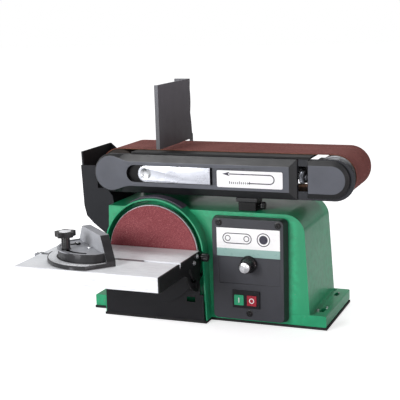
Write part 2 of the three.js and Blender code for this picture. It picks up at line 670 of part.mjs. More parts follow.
function workStop() {
  const { x, thickness, front, back, bottom, top } = fence;
  const outline = new THREE.Shape();
  outline.moveTo(front, bottom);
  outline.lineTo(back, bottom);
  outline.lineTo(back, bottom + 3);
  outline.quadraticCurveTo(back - 1, bottom + 22, back - 6, bottom + 44);
  outline.quadraticCurveTo(back - 2, bottom + 62, back - 4, bottom + 76);
  outline.quadraticCurveTo(back - 6, bottom + 84, back - 4, bottom + 92);
  outline.lineTo(back - 4, top);
  outline.lineTo(front, top);
  const plate = prism('x', outline, x, x + thickness, 4);
  const frontFold = block(x - 2.5, x + 1, front, front + 3, bottom, top);
  const rearFlange = block(x - 23, x + 1, back - 7, back - 4, top - 14, top);
  const footTop = arm.top + 2.5;
  const post = block(x, x + thickness, sandBelt.back + 1.2, arm.rear + 2.7, 250.6, bottom + 8);
  const foot = block(x + 1, x + 32, arm.rear - GAP, arm.rear + 2.7, 242, footTop);
  return join(plate, frontFold, rearFlange, foot, post);
}

function buildArm() {
  add('arm_frame', armFrame(), steel);
  add('platen', platen(), steel);
  add('arm_cover', armCover(), blackPlastic);
  add('idler_cover', idlerCover(), blackPlastic);
  add('arm_label', block(99, 204, arm.coverFront - 0.7, arm.coverFront - GAP / 2, 211, 237), white);
  add('sanding_belt', sandingBelt(), grit);
  add('tension_lever', tensionLever(), zinc);
  add('idler_block', idlerBlock(), steel);
  add('idler_shaft', rod('y', 6, 33.2, 141.6, idler.x, drum.z, 20), steel);
  add('idler_roller', tube('y', idler.radius, 6.4, 38, 136.6, idler.x, drum.z, 40), aluminium);
  add('tension_spring', spring(198.5, 225.5, 86, drum.z, 7, 1.2, 4), steel);
  add('tracking_knob', trackingKnob(), steel);
  add('work_stop', workStop(), blackPaint);
  add('arm_latch_block', block(128, 162, 12, 40, 188.4, arm.bottom - GAP), blackPlastic);
  const bracketFoot = base.top + GAP;
  add('arm_bracket', cut(block(132, 160, 12, 44, bracketFoot, 188.1),
    rod('x', 3.3, 150, 161, 26, 181.5, 12)), blackPaint);
  add('arm_lock_screw', join(rod('x', 3, 151, 166, 26, 181.5, 12), rod('x', 6, 162, 171, 26, 181.5, 12)), blackPlastic);
}

// ---------------------------------------------------------------- belt dust hood
function dustHood() {
  const { front, back, wall, top, cheekTop } = hood;
  const outline = (inset, height) => polygon([
    [-148 + inset, height], [-146 + inset, 191], [-145 + inset, 166], [-141 + inset, 149 + inset],
    [-128 + inset / 2, 136 + inset], [-96, 112 + 1.2 * inset], [-92.6 - inset, 114 + 1.2 * inset],
    [-90 - inset, 172], [-92 - inset, 184], [-99 - inset, 193], [-110 - inset, 200], [-112 - inset, height],
  ]);
  const body = prism('y', outline(0, top), front, back);
  const hollow = prism('y', outline(wall, top + THROUGH), front + wall, back - wall);
  const overFrontCheek = block(-170, -80, front - THROUGH, front + wall + THROUGH, cheekTop, top + THROUGH);
  const drumRoom = rod('y', sandBelt.inner + 5, front - THROUGH, back + THROUGH, drum.x, drum.z, 32);
  // Room for the belt to stand upright with the arm.
  const armRoom = block(-118, -80, front - THROUGH, back + THROUGH, 196, top + THROUGH);
  const overRearCheek = prism('y', polygon([[-146, top + THROUGH], [-118, 232], [-118, top + THROUGH]]),
    back - wall - THROUGH, back + THROUGH);
  const stub = tube('y', outlet.radius, outlet.radius - outlet.wall, back - 1, outlet.end, outlet.x, outlet.z);
  const outletHole = rod('y', outlet.radius - outlet.wall, back - wall - 1, back + 1, outlet.x, outlet.z);
  return cut(join(cut(body, hollow), stub), overFrontCheek, overRearCheek, drumRoom, armRoom, outletHole);
}

// ---------------------------------------------------------------- table
function tableTop() {
  const { left, right, front, back, top, plate, skirt, slotY, slotWidth, slotDepth } = table;
  const lip = 4;
  const under = top - plate;
  const body = join(
    block(left, right, front, back, under, top),
    block(left, right, front, front + lip, top - skirt, under + 1),
    block(left, left + lip, front, back - 14, top - skirt, under + 1),
    block(left, right, slotY - 9, slotY + 9, under - 4, under + 1),
    ...[-96, -40, 16].map((x) => block(x, x + 4, front, -48, under - 8, under + 1)));
  const slot = block(left - THROUGH, right + THROUGH, slotY - slotWidth / 2, slotY + slotWidth / 2,
    top - slotDepth, top + THROUGH);
  const pivots = [[-78, -69], [72, 80]].map(([x0, x1]) => rod('x', 3.4, x0, x1, tilt.y, tilt.z, 12));
  return cut(body, slot, ...pivots);
}

// Side plate screwed to the table's right end; its lower part carries the curved clamp slot.
function tableEndPlate() {
  const { front, back, top, skirt, slotY, slotWidth, slotDepth } = table;
  const reach = tilt.clampRadius + 11;
  const outline = new THREE.Shape();
  outline.moveTo(front, top);
  outline.lineTo(front, top - skirt);
  outline.lineTo(tilt.y - reach - 8, top - skirt);
  outline.absarc(tilt.y, tilt.z, reach, Math.PI * 1.12, Math.PI * 1.45);
  outline.lineTo(tilt.y + 4, tilt.z - 12);
  outline.lineTo(back - 1.5, tilt.z - 3);
  outline.lineTo(back - 0.5, top);
  const plate = prism('x', outline, table.right + GAP, table.right + 3, 16);
  const arc = new THREE.Shape();
  const from = 193 * Math.PI / 180;
  const to = 248.6 * Math.PI / 180;
  const halfSlot = 3.6;
  arc.absarc(tilt.y, tilt.z, tilt.clampRadius + halfSlot, from, to, false);
  arc.absarc(tilt.y, tilt.z, tilt.clampRadius - halfSlot, to, from, true);
  const notch = block(table.right - 1, table.right + 4, slotY - slotWidth / 2, slotY + slotWidth / 2,
    top - slotDepth - 1.5, top + THROUGH);
  return cut(plate, prism('x', arc, table.right - 1, table.right + 5, 14), notch,
    rod('x', 3.4, table.right - 1, table.right + 5, tilt.y, tilt.z, 16));
}

function tableBracket(side) {
  const inner = side > 0 ? table.right - 6 : -77;
  const web = new THREE.Shape();
  web.moveTo(-26.2, 60);
  web.lineTo(-26.2, tilt.z - 10);
  web.lineTo(tilt.y + 2, tilt.z - 0.8);
  web.lineTo(tilt.y - 0.6, tilt.z - 1.8);
  web.lineTo(-54, 80);
  web.lineTo(-54, 62);
  web.lineTo(-48, 60);
  const height = tilt.clampRadius;
  const angle = 243.5 * Math.PI / 180;
  const clamp = { y: tilt.y + height * Math.cos(angle), z: tilt.z + height * Math.sin(angle) };
  const foot = side > 0 ? block(inner - 14, inner + 1, -28.8, -26.2, 62, 88) : block(inner + 1, inner + 17, -28.8, -26.2, 62, 88);
  const plate = prism('x', web, inner, inner + 3, 8);
  const pin = side > 0 ? join(rod('x', 3, inner + 2, table.right + 4.2, tilt.y, tilt.z, 16),
    rod('x', 3, inner + 2, table.right + 3.6, clamp.y, clamp.z, 16),
    rod('x', 6, table.right + 3.4, table.right + 6.4, clamp.y, clamp.z, 12)) : rod('x', 3, inner + 2, inner + 7, tilt.y, tilt.z, 16);
  return join(plate, foot, pin);
}

function tableLockKnob() {
  const x = table.right + 4.6;
  const wheel = rod('x', 6.5, x + 1, x + 13, tilt.y, tilt.z, 24);
  const flutes = [];
  for (let i = 0; i < 6; i += 1) {
    const angle = i * Math.PI / 3;
    flutes.push(rod('x', 1.6, x + 2.5, x + 14, tilt.y + 7 * Math.cos(angle), tilt.z + 7 * Math.sin(angle), 8));
  }
  return join(cut(wheel, ...flutes), rod('x', 5, x, x + 2, tilt.y, tilt.z, 16));
}

function tableEar() {
  const x0 = -73.6;
  const ear = new THREE.Shape();
  const under = table.top - table.plate - GAP;
  ear.moveTo(tilt.y - 18, under);
  ear.lineTo(tilt.y - 4, tilt.z - 7);
  ear.absarc(tilt.y, tilt.z, 6.5, 1.35 * Math.PI, 1.9 * Math.PI);
  ear.lineTo(tilt.y + 6, under);
  ear.lineTo(tilt.y + 3.6, under);
  ear.lineTo(tilt.y, tilt.z - 2);
  ear.lineTo(tilt.y - 3.6, under);
  return cut(prism('x', ear, x0, x0 + 3, 8), rod('x', 3.3, x0 - 1, x0 + 4, tilt.y, tilt.z, 16));
}

function buildTable() {
  add('table', tableTop(), aluminium);
  add('table_end_plate', tableEndPlate(), blackPaint);
  add('table_ear', tableEar(), blackPaint);
  add('table_bracket_right', tableBracket(1), blackPaint);
  add('table_bracket_left', tableBracket(-1), blackPaint);
  add('table_lock_knob', tableLockKnob(), blackPlastic);
}

// ---------------------------------------------------------------- mitre gauge
function buildGauge() {
  const { top, slotY, slotWidth, slotDepth } = table;
  const { radius, half } = gauge;
  const floor = top - slotDepth + GAP;
  add('mitre_bar', join(block(-162, 20, slotY - slotWidth / 2 + GAP, slotY + slotWidth / 2 - GAP, floor, top),
    rod('z', 3, top - 1, top + 14, gauge.x, slotY, 16)), steel);

  const head = new THREE.Group();
  head.position.set(gauge.x, slotY, 0);
  head.rotation.z = gauge.angle * Math.PI / 180;
  sander.add(head);

  const low = top + GAP;
  const foot = low + 5.4;
  const hubTop = 134.8;
  const outer = 4.5;
  const inner = outer - 13.5;
  const sector = (reach, limit, right) => {
    const start = Math.acos(limit / reach);
    const shape = new THREE.Shape();
    shape.moveTo(right, -limit);
    shape.lineTo(right, limit);
    shape.absarc(0, 0, reach, Math.PI / 2 + start, 1.5 * Math.PI - start);
    return shape;
  };
  const plate = prism('z', sector(radius, half, outer), low, foot, 14);
  const hub = prism('z', sector(59, 54, -5), foot - 1, hubTop, 12);
  const rim = cut(prism('z', sector(60, 55, -5), hubTop - 1, hubTop + 1.2, 12),
    prism('z', sector(56.5, 51.5, -8.5), hubTop, hubTop + 3, 12));
  const fenceShape = polygon([[-half, low], [half, low], [half, low + 8], [39.4, low + gauge.fence],
    [-39.4, low + gauge.fence], [-half, low + 8]]);
  const wall = prism('x', fenceShape, inner, outer);
  const clampArc = new THREE.Shape();
  clampArc.absarc(0, 0, 51, 0.72 * Math.PI, 1.28 * Math.PI, false);
  clampArc.absarc(0, 0, 44.5, 1.28 * Math.PI, 0.72 * Math.PI, true);
  const screwHoles = [-44, 44].map((y) => rod('x', 3.2, inner - THROUGH, outer + THROUGH, y, low + 14, 12));
  add('mitre_head', cut(join(plate, hub, rim, wall), prism('z', clampArc, low - 1, hubTop + 5, 6),
    rod('z', 3.3, low - 1, hubTop + 3, 0, 0, 16), rod('z', 6, foot + 7, hubTop + 3, 0, 0, 16), ...screwHoles), blackPaint, head);
  const scaleOuter = sector(radius - 1.5, half - 1.5, inner - GAP);
  add('mitre_scale', cut(prism('z', scaleOuter, foot + GAP / 2, foot + 0.6, 14),
    prism('z', sector(61.5, 56.5, 0), foot - 1, foot + 2, 12), block(inner - GAP, 0, -80, 80, foot - 1, foot + 2)), white, head);
  const knobX = -47.6;
  const knobY = 4;
  const stem = turned('z', [[0, low + 0.4], [2.8, low + 0.4], [2.8, hubTop + 0.3], [7.4, hubTop + 0.3], [6.6, hubTop + 4],
    [6.6, 154], [8.4, 156], [0, 156]], knobX, knobY, 20);
  const star = prism('z', starOutline(knobX, knobY, 14.6, 1.9, 5), 155, 163);
  add('mitre_knob', join(stem, star), blackPlastic, head);
  add('pivot_screw', cut(rod('z', 5, hubTop - 4.5, hubTop + 2, -0.2, 0, 16),
    block(-6, 6, -0.6, 0.6, hubTop + 0.8, hubTop + 3)), zinc, head);
}

// ---------------------------------------------------------------- put together
buildBase();
buildDrive();
buildDrum();
buildDisc();
buildArm();
add('dust_hood', dustHood(), blackPlastic);
buildTable();
buildGauge();

// The origin lies on the floor, at the middle of the whole machine.
sander.updateMatrixWorld(true);
const extent = new THREE.Box3().setFromObject(sander, true);
const middle = extent.getCenter(new THREE.Vector3());
sander.position.set(-middle.x, -middle.y, -extent.min.z);

export default sander;
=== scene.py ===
import math

import bmesh
import bpy
from mathutils import Matrix, Vector
from mathutils.geometry import tessellate_polygon


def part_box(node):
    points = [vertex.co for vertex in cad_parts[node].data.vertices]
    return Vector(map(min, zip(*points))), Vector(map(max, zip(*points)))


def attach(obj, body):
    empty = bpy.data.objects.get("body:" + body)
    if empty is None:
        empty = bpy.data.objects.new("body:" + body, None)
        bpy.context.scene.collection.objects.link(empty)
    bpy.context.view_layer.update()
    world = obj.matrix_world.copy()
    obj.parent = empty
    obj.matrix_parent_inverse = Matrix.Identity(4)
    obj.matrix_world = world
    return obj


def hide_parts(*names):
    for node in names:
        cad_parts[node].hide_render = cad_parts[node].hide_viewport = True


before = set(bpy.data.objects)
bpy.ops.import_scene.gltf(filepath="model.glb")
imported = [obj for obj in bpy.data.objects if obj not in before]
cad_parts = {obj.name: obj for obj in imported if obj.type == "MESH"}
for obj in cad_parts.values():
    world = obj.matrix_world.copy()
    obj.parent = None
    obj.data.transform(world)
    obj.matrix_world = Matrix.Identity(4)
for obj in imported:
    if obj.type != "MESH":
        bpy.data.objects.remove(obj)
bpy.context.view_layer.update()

# ---------------------------------------------------------------- the working frame
# Pieces are drawn in millimetres with the disc's axis at x 0, the front of the base housing's
# flat wall near y 0 and the floor at z 0. place() turns that into the row frame, in metres.
MM = 0.001
DISC_FRONT = -20.5
disc_low, disc_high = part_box("abrasive_disc")
ORIGIN = Vector(((disc_low.x + disc_high.x) / 2, disc_low.y - DISC_FRONT * MM, 0.0))
UP = Vector((0, 0, 1))


def place(x, y, z):
    return ORIGIN + Vector((x, y, z)) * MM


class Room:
    """A CAD node's box in the working frame, in millimetres."""

    def __init__(self, node):
        low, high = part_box(node)
        self.x0, self.y0, self.z0 = (low - ORIGIN) / MM
        self.x1, self.y1, self.z1 = (high - ORIGIN) / MM
        self.x, self.y, self.z = (self.x0 + self.x1) / 2, (self.y0 + self.y1) / 2, (self.z0 + self.z1) / 2


# ---------------------------------------------------------------- node helpers
def rgb(red, green, blue):
    """A screen colour, 0 to 255, as the linear colour that a shader takes."""
    def linear(value):
        value /= 255
        return value / 12.92 if value <= 0.04045 else ((value + 0.055) / 1.055) ** 2.4
    return (linear(red), linear(green), linear(blue), 1.0)


def shade(colour, factor):
    return tuple(min(channel * factor, 1.0) for channel in colour[:3]) + (1.0,)


class Nodes:
    """Builds one procedural material around its Principled shader."""

    def __init__(self, name):
        self.material = bpy.data.materials.new(name)
        self.material.use_nodes = True
        self.tree = self.material.node_tree
        self.shader = self.tree.nodes["Principled BSDF"]
        self.coords = self.add("ShaderNodeTexCoord")

    def add(self, kind, **settings):
        made = self.tree.nodes.new(kind)
        for key, value in settings.items():
            setattr(made, key, value)
        return made

    def feed(self, socket, value):
        if isinstance(value, bpy.types.NodeSocket):
            self.tree.links.new(value, socket)
        else:
            socket.default_value = value

    def point(self, stretch=(1, 1, 1)):
        mapping = self.add("ShaderNodeMapping")
        self.feed(mapping.inputs["Vector"], self.coords.outputs["Object"])
        mapping.inputs["Scale"].default_value = stretch
        return mapping.outputs["Vector"]

    def noise(self, size, detail=3.0, stretch=(1, 1, 1), roughness=0.5):
        """Cloudy noise whose features are about size millimetres wide."""
        made = self.add("ShaderNodeTexNoise")
        self.feed(made.inputs["Vector"], self.point(stretch))
        made.inputs["Scale"].default_value = 1 / (size * MM)
        made.inputs["Detail"].default_value = detail
        made.inputs["Roughness"].default_value = roughness
        return made.outputs["Fac"]

    def cells(self, size, output="Color"):
        made = self.add("ShaderNodeTexVoronoi")
        self.feed(made.inputs["Vector"], self.point())
        made.inputs["Scale"].default_value = 1 / (size * MM)
        return made.outputs[output]

    def ramp(self, factor, *stops):
        made = self.add("ShaderNodeValToRGB")
        self.feed(made.inputs["Fac"], factor)
        elements = made.color_ramp.elements
        while len(elements) < len(stops):
            elements.new(0.5)
        for element, (position, colour) in zip(elements, stops):
            element.position = position
            element.color = colour
        return made.outputs["Color"]

    def range(self, value, low, high, to_low, to_high):
        made = self.add("ShaderNodeMapRange")
        self.feed(made.inputs["Value"], value)
        for key, number in (("From Min", low), ("From Max", high), ("To Min", to_low), ("To Max", to_high)):
            made.inputs[key].default_value = number
        return made.outputs["Result"]

    def mix(self, factor, first, second, blend="MIX"):
        made = self.add("ShaderNodeMix", data_type="RGBA", blend_type=blend)
        self.feed(made.inputs[0], factor)
        self.feed(made.inputs[6], first)
        self.feed(made.inputs[7], second)
        return made.outputs[2]

    def maths(self, operation, first, second=0.0):
        made = self.add("ShaderNodeMath", operation=operation)
        self.feed(made.inputs[0], first)
        self.feed(made.inputs[1], second)
        return made.outputs[0]

    def facing(self, direction, start=0.965, end=0.985):
        """1 on faces that look along direction at rest, 0 on the others."""
        made = self.add("ShaderNodeVectorMath", operation="DOT_PRODUCT")
        self.feed(made.inputs[0], self.coords.outputs["Normal"])
        made.inputs[1].default_value = direction
        return self.range(made.outputs["Value"], start, end, 0.0, 1.0)

    def edges(self, start=0.53, end=0.62):
        """1 on raised edges, where paint and plastic rubbed bright and where a painted edge highlight goes.
        """
        made = self.add("ShaderNodeNewGeometry")
        return self.range(made.outputs["Pointiness"], start, end, 0.0, 1.0)

    def bump(self, height, depth, strength=1.0, under=None):
        made = self.add("ShaderNodeBump")
        made.inputs["Strength"].default_value = strength
        made.inputs["Distance"].default_value = depth * MM
        self.feed(made.inputs["Height"], height)
        if under is not None:
            self.feed(made.inputs["Normal"], under)
        return made.outputs["Normal"]

    def done(self, colour, roughness, metallic=0.0, normal=None, coat=0.0, specular=0.5):
        self.feed(self.shader.inputs["Base Color"], colour)
        self.feed(self.shader.inputs["Roughness"], roughness)
        self.shader.inputs["Metallic"].default_value = metallic
        self.shader.inputs["Coat Weight"].default_value = coat
        self.shader.inputs["Coat Roughness"].default_value = 0.12
        self.shader.inputs["Specular IOR Level"].default_value = specular
        if normal is not None:
            self.feed(self.shader.inputs["Normal"], normal)
        return self.material


# ---------------------------------------------------------------- materials
def moulded(name, colour, roughness=0.42, grain=0.5, depth=0.035, lift=1.18, edge_rub_and_highlight=1.9, front=None,
            shine=0.5):
    """Textured moulded plastic: spark-eroded grain, cloudy gloss, edges rubbed lighter with a painted edge
    highlight on them, and, given front, a painted front light: a lighter copy of the colour on the faces that
    look forward.
    """
    n = Nodes(name)
    cloud = n.noise(38, 4)
    tint = n.ramp(cloud, (0.3, shade(colour, 1 / lift)), (0.7, shade(colour, lift)))
    # Painted front light: the faces that look forward take the lighter front colour, as if lit from the
    # front.
    if front is not None:
        tint = n.mix(n.facing((0, -1, 0)), tint,
                     n.ramp(cloud, (0.3, shade(front, 0.86)), (0.7, shade(front, 1.14))))
    # Raised edges lighter: rubbed wear together with a painted edge highlight.
    worn = n.maths("MULTIPLY", n.edges(), n.noise(7, 5))
    tint = n.mix(worn, tint, shade(colour, edge_rub_and_highlight))
    gloss = n.range(n.noise(24, 5), 0.3, 0.7, roughness - 0.06, roughness + 0.09)
    skin = n.bump(n.cells(grain, "Distance"), depth)
    skin = n.bump(n.noise(60, 2), 0.25, 0.6, skin)
    return n.done(tint, gloss, normal=skin, specular=shine)


def painted(name, colour, roughness=0.32, coat=0.35, chips=(120, 124, 120), peel=2.6,
            shine=0.5):
    """Sprayed gloss paint on a casting: orange peel, dust in the film, rubbed and chipped edges, and a
    painted highlight along the raised edges.
    """
    n = Nodes(name)
    tint = n.ramp(n.noise(90, 3), (0.3, shade(colour, 0.93)), (0.7, shade(colour, 1.06)))
    specks = n.range(n.cells(2.4, "Distance"), 0.01, 0.06, 0.1, 0.0)
    tint = n.mix(specks, tint, shade(colour, 1.5))
    # Raised edges lighter: rubbed wear together with a painted edge highlight.
    rubbed = n.maths("MULTIPLY", n.edges(0.53, 0.62), n.range(n.noise(9, 6), 0.35, 0.65, 0.1, 0.6))
    tint = n.mix(rubbed, tint, shade(colour, 1.6))
    chipped = n.maths("MULTIPLY", n.edges(0.56, 0.64), n.range(n.noise(3.2, 3), 0.66, 0.72, 0.0, 0.7))
    tint = n.mix(chipped, tint, rgb(*chips))
    gloss = n.range(n.noise(26, 4), 0.3, 0.7, roughness - 0.04, roughness + 0.06)
    skin = n.bump(n.noise(peel, 2), 0.03, 0.5)
    skin = n.bump(n.noise(60, 2), 0.25, 0.4, skin)
    return n.done(tint, gloss, normal=skin, coat=coat, specular=shine)


def metal(name, colour, roughness=0.3, stretch=(0.02, 1, 1), line=0.35, depth=0.02, stain=0.12, metallic=0.9):
    """Ground or brushed metal: fine lines along one axis, handling marks and faint stains."""
    n = Nodes(name)
    lines = n.noise(line, 3, stretch)
    tint = n.ramp(lines, (0.3, shade(colour, 0.84)), (0.7, shade(colour, 1.12)))
    tint = n.mix(n.range(n.noise(26, 6), 0.5, 0.75, 0.0, stain), tint, shade(colour, 0.45))
    smear = n.range(n.noise(18, 5), 0.3, 0.7, roughness - 0.06, roughness + 0.12)
    gloss = n.maths("ADD", smear, n.range(lines, 0.2, 0.8, -0.05, 0.05))
    return n.done(tint, gloss, metallic, n.bump(lines, depth, 0.6))


def cast(name, colour, roughness=0.5, grain=1.3, depth=0.12, metallic=0.85):
    """Bare or zinc-plated casting with a sandy skin."""
    n = Nodes(name)
    tint = n.ramp(n.noise(12, 6), (0.3, shade(colour, 0.8)), (0.7, shade(colour, 1.15)))
    gloss = n.range(n.noise(5, 4), 0.3, 0.7, roughness - 0.1, roughness + 0.12)
    skin = n.bump(n.noise(grain, 4), depth, 0.8)
    return n.done(tint, gloss, metallic, skin)


def abrasive(name, dark, middle, light, grain=0.55):
    """Aluminium oxide grit in resin on cloth: grains of many browns, sharp bump and worn drifts."""
    n = Nodes(name)
    pick = n.add("ShaderNodeSeparateColor")
    n.feed(pick.inputs[0], n.cells(grain))
    grains = n.ramp(pick.outputs[0], (0.0, dark), (0.45, middle), (0.8, middle), (1.0, light))
    drift = n.noise(30, 5, (0.35, 1, 1))
    tint = n.mix(n.range(drift, 0.35, 0.7, 0.0, 0.4), grains, shade(dark, 1.25))
    glint = n.range(pick.outputs[1], 0.94, 0.97, 0.0, 0.55)
    tint = n.mix(glint, tint, shade(light, 1.5))
    skin = n.bump(n.cells(grain, "Distance"), 0.28, 0.9)
    skin = n.bump(n.noise(0.9, 3), 0.2, 0.6, skin)
    return n.done(tint, n.range(drift, 0.3, 0.7, 0.8, 0.95), normal=skin, specular=0.3)


def rubbery(name, colour, roughness=0.75):
    n = Nodes(name)
    tint = n.ramp(n.noise(14, 6), (0.3, shade(colour, 0.8)), (0.75, shade(colour, 1.5)))
    skin = n.bump(n.noise(0.7, 4), 0.06, 0.7)
    return n.done(tint, n.range(n.noise(9, 4), 0.3, 0.7, roughness - 0.1, roughness + 0.1), normal=skin)


def printed(name, colour, roughness=0.3):
    """Printed foil: even colour, a little uneven gloss and a soft waviness where it was rubbed on."""
    n = Nodes(name)
    tint = n.ramp(n.noise(22, 4), (0.3, shade(colour, 0.95)), (0.7, shade(colour, 1.03)))
    gloss = n.range(n.noise(6, 4), 0.3, 0.7, roughness - 0.05, roughness + 0.1)
    return n.done(tint, gloss, normal=n.bump(n.noise(9, 3), 0.04, 0.5), coat=0.2)


def wound(name, colour):
    """Enamelled winding: close turns of round wire."""
    n = Nodes(name)
    wave = n.add("ShaderNodeTexWave", wave_type="BANDS", bands_direction="DIAGONAL")
    n.feed(wave.inputs["Vector"], n.point())
    wave.inputs["Scale"].default_value = 260
    wave.inputs["Distortion"].default_value = 1.4
    # The dark bands in the grooves between the turns are painted shade.
    tint = n.ramp(wave.outputs["Fac"], (0.1, shade(colour, 0.35)), (0.6, colour))
    return n.done(tint, 0.35, 0.8, n.bump(wave.outputs["Fac"], 0.4))


def spun(name, colour, centre):
    """Turned metal face: fine rings about its centre and a painted highlight that brightens two opposite
    sectors of it, in place of its reflection.
    """
    n = Nodes(name)
    shift = n.add("ShaderNodeVectorMath", operation="SUBTRACT")
    n.feed(shift.inputs[0], n.coords.outputs["Object"])
    shift.inputs[1].default_value = centre
    flat = n.add("ShaderNodeMapping")
    n.feed(flat.inputs["Vector"], shift.outputs["Vector"])
    flat.inputs["Scale"].default_value = (1, 0, 1)
    length = n.add("ShaderNodeVectorMath", operation="LENGTH")
    n.feed(length.inputs[0], flat.outputs["Vector"])
    rings = n.maths("SINE", n.maths("MULTIPLY", length.outputs["Value"], 14000))
    split = n.add("ShaderNodeSeparateXYZ")
    n.feed(split.inputs[0], flat.outputs["Vector"])
    turn = n.maths("ARCTAN2", split.outputs["Z"], split.outputs["X"])
    # Painted highlight: brightness by angle about the centre.
    painted_sheen_sectors = n.maths("SINE", n.maths("MULTIPLY", turn, 2.0))
    tint = n.ramp(n.range(painted_sheen_sectors, -1, 1, 0, 1), (0.2, shade(colour, 0.62)), (0.8, colour))
    return n.done(tint, 0.24, 0.9, n.bump(rings, 0.006))


def height_graded_enamel(name, upper, lower, low, high):
    """Grey sheet enamel, paler towards the top and darker towards the bottom."""
    n = Nodes(name)
    split = n.add("ShaderNodeSeparateXYZ")
    n.feed(split.inputs[0], n.coords.outputs["Object"])
    tint = n.ramp(n.range(split.outputs["Z"], low, high, 0.0, 1.0), (0.0, lower), (1.0, upper))
    tint = n.mix(n.range(n.noise(30, 4), 0.4, 0.7, 0.0, 0.12), tint, shade(upper, 1.2))
    return n.done(tint, n.range(n.noise(24, 4), 0.3, 0.7, 0.42, 0.54),
                  normal=n.bump(n.noise(3, 2), 0.02, 0.4))


# How bright the sky is where it lights a surface, and where a surface mirrors it.
SKY_LIGHT = 0.16
SKY_GLOSS = 0.42
GREEN = rgb(30, 150, 104)
look = {
    "paint": painted("green_enamel", GREEN),
    "plastic": moulded("black_moulding", rgb(17, 18, 21), 0.45),
    # front= is a painted front light: a lighter copy of the colour on the forward faces of the arm cover,
    # panel, guard and hood; the arm cover's edges also carry a stronger painted edge highlight.
    "cover": moulded("arm_moulding", rgb(18, 19, 22), 0.36, front=rgb(80, 83, 92), edge_rub_and_highlight=2.6),
    "panel": moulded("panel_moulding", rgb(34, 35, 39), 0.44, grain=0.7, front=rgb(52, 53, 60)),
    "guard": moulded("guard_moulding", rgb(14, 14, 17), 0.4, front=rgb(20, 20, 24), shine=0.3),
    # The upper disc guard is a black moulding; its dark grey-purple colour is a painted sheen.
    "arch": moulded("arch_moulding", rgb(64, 60, 74), 0.3),
    "hood": moulded("hood_moulding", rgb(16, 17, 20), 0.5, front=rgb(26, 27, 33), shine=0.25),
    "knob": moulded("knob_moulding", rgb(17, 17, 19), 0.28, grain=0.9, depth=0.01),
    "black": painted("black_enamel", rgb(10, 10, 12), 0.45, 0.0, (96, 96, 100), shine=0.25),
    "frame": painted("frame_enamel", rgb(34, 36, 42), 0.42, 0.1, (120, 120, 126), shine=0.3),
    "knurl": metal("knurled_steel", rgb(104, 106, 112), 0.3),
    "grey": height_graded_enamel("grey_enamel", rgb(96, 97, 103), rgb(60, 60, 62), 0.25, 0.36),
    "rubber": rubbery("black_rubber", rgb(22, 22, 23)),
    "drum": rubbery("drum_rubber", rgb(46, 38, 34)),
    "table": metal("milled_aluminium", rgb(238, 240, 246), 0.46, (0.03, 1, 1), 0.5, 0.01, 0.06, 0.12),
    "bright": metal("bright_aluminium", rgb(208, 210, 214), 0.28),
    "lever": metal("brushed_lever", rgb(214, 217, 226), 0.27, (0.015, 1, 1), 0.3, 0.012, 0.02, 0.75),
    "steel": metal("bare_steel", rgb(150, 152, 158), 0.34),
    "plated": cast("zinc_plate", rgb(205, 207, 210), 0.26, 2.5, 0.02, 0.95),
    "cast": cast("cast_aluminium", rgb(165, 167, 170)),
    "disc_grit": abrasive("disc_grit", rgb(112, 50, 56), rgb(146, 74, 80), rgb(190, 120, 120)),
    "belt_grit": abrasive("belt_grit", rgb(84, 46, 42), rgb(128, 72, 68), rgb(168, 110, 100), 0.6),
    "cloth": rubbery("belt_backing", rgb(120, 84, 60), 0.85),
    "white": printed("white_print", rgb(252, 252, 254)),
    "green_print": printed("green_print", rgb(146, 180, 174)),
    "dark_print": printed("dark_print", rgb(52, 50, 66)),
    "copper": wound("winding_wire", rgb(184, 105, 62)),
    # front= here too is a painted front light on the forward faces.
    "board": moulded("solder_mask", rgb(24, 92, 48), 0.35, front=rgb(26, 100, 54)),
    "go": moulded("go_button", rgb(44, 168, 120), 0.25, grain=1.2, depth=0.008, lift=1.06),
    "stop": moulded("stop_button", rgb(168, 34, 52), 0.25, grain=1.2, depth=0.008, lift=1.06),
}


# ---------------------------------------------------------------- mesh helpers
def along(axis, u, v, w):
    """u and v lie across the axis, w along it."""
    return {"x": (w, u, v), "y": (u, w, v), "z": (u, v, w)}[axis]


def arc(cu, cv, radius, start, end, steps=16):
    """Points on an arc, angles in degrees."""
    angles = [math.radians(start + (end - start) * i / steps) for i in range(steps + 1)]
    return [(cu + radius * math.cos(a), cv + radius * math.sin(a)) for a in angles]


def ring(cu, cv, radius, steps=48):
    return arc(cu, cv, radius, 0, 360, steps)[:-1]


def rounded(u0, u1, v0, v1, radius, steps=8):
    return (arc(u1 - radius, v0 + radius, radius, -90, 0, steps)
            + arc(u1 - radius, v1 - radius, radius, 0, 90, steps)
            + arc(u0 + radius, v1 - radius, radius, 90, 180, steps)
            + arc(u0 + radius, v0 + radius, radius, 180, 270, steps))


def plate(axis, loops, start, end, edge=0.4, segments=3):
    """A flat plate between two places on the axis, with holes and rounded edges."""
    points = [point for loop in loops for point in loop]
    count = len(points)
    caps = tessellate_polygon([[Vector((u, v, 0)) for u, v in loop] for loop in loops])
    vertices = [along(axis, u, v, w) for w in (start, end) for u, v in points]
    faces = [tuple(cap) for cap in caps] + [tuple(i + count for i in reversed(cap)) for cap in caps]
    first = 0
    for loop in loops:
        for i in range(len(loop)):
            a, b = first + i, first + (i + 1) % len(loop)
            faces.append((a, b, b + count, a + count))
        first += len(loop)
    return soften(vertices, faces, edge, segments)


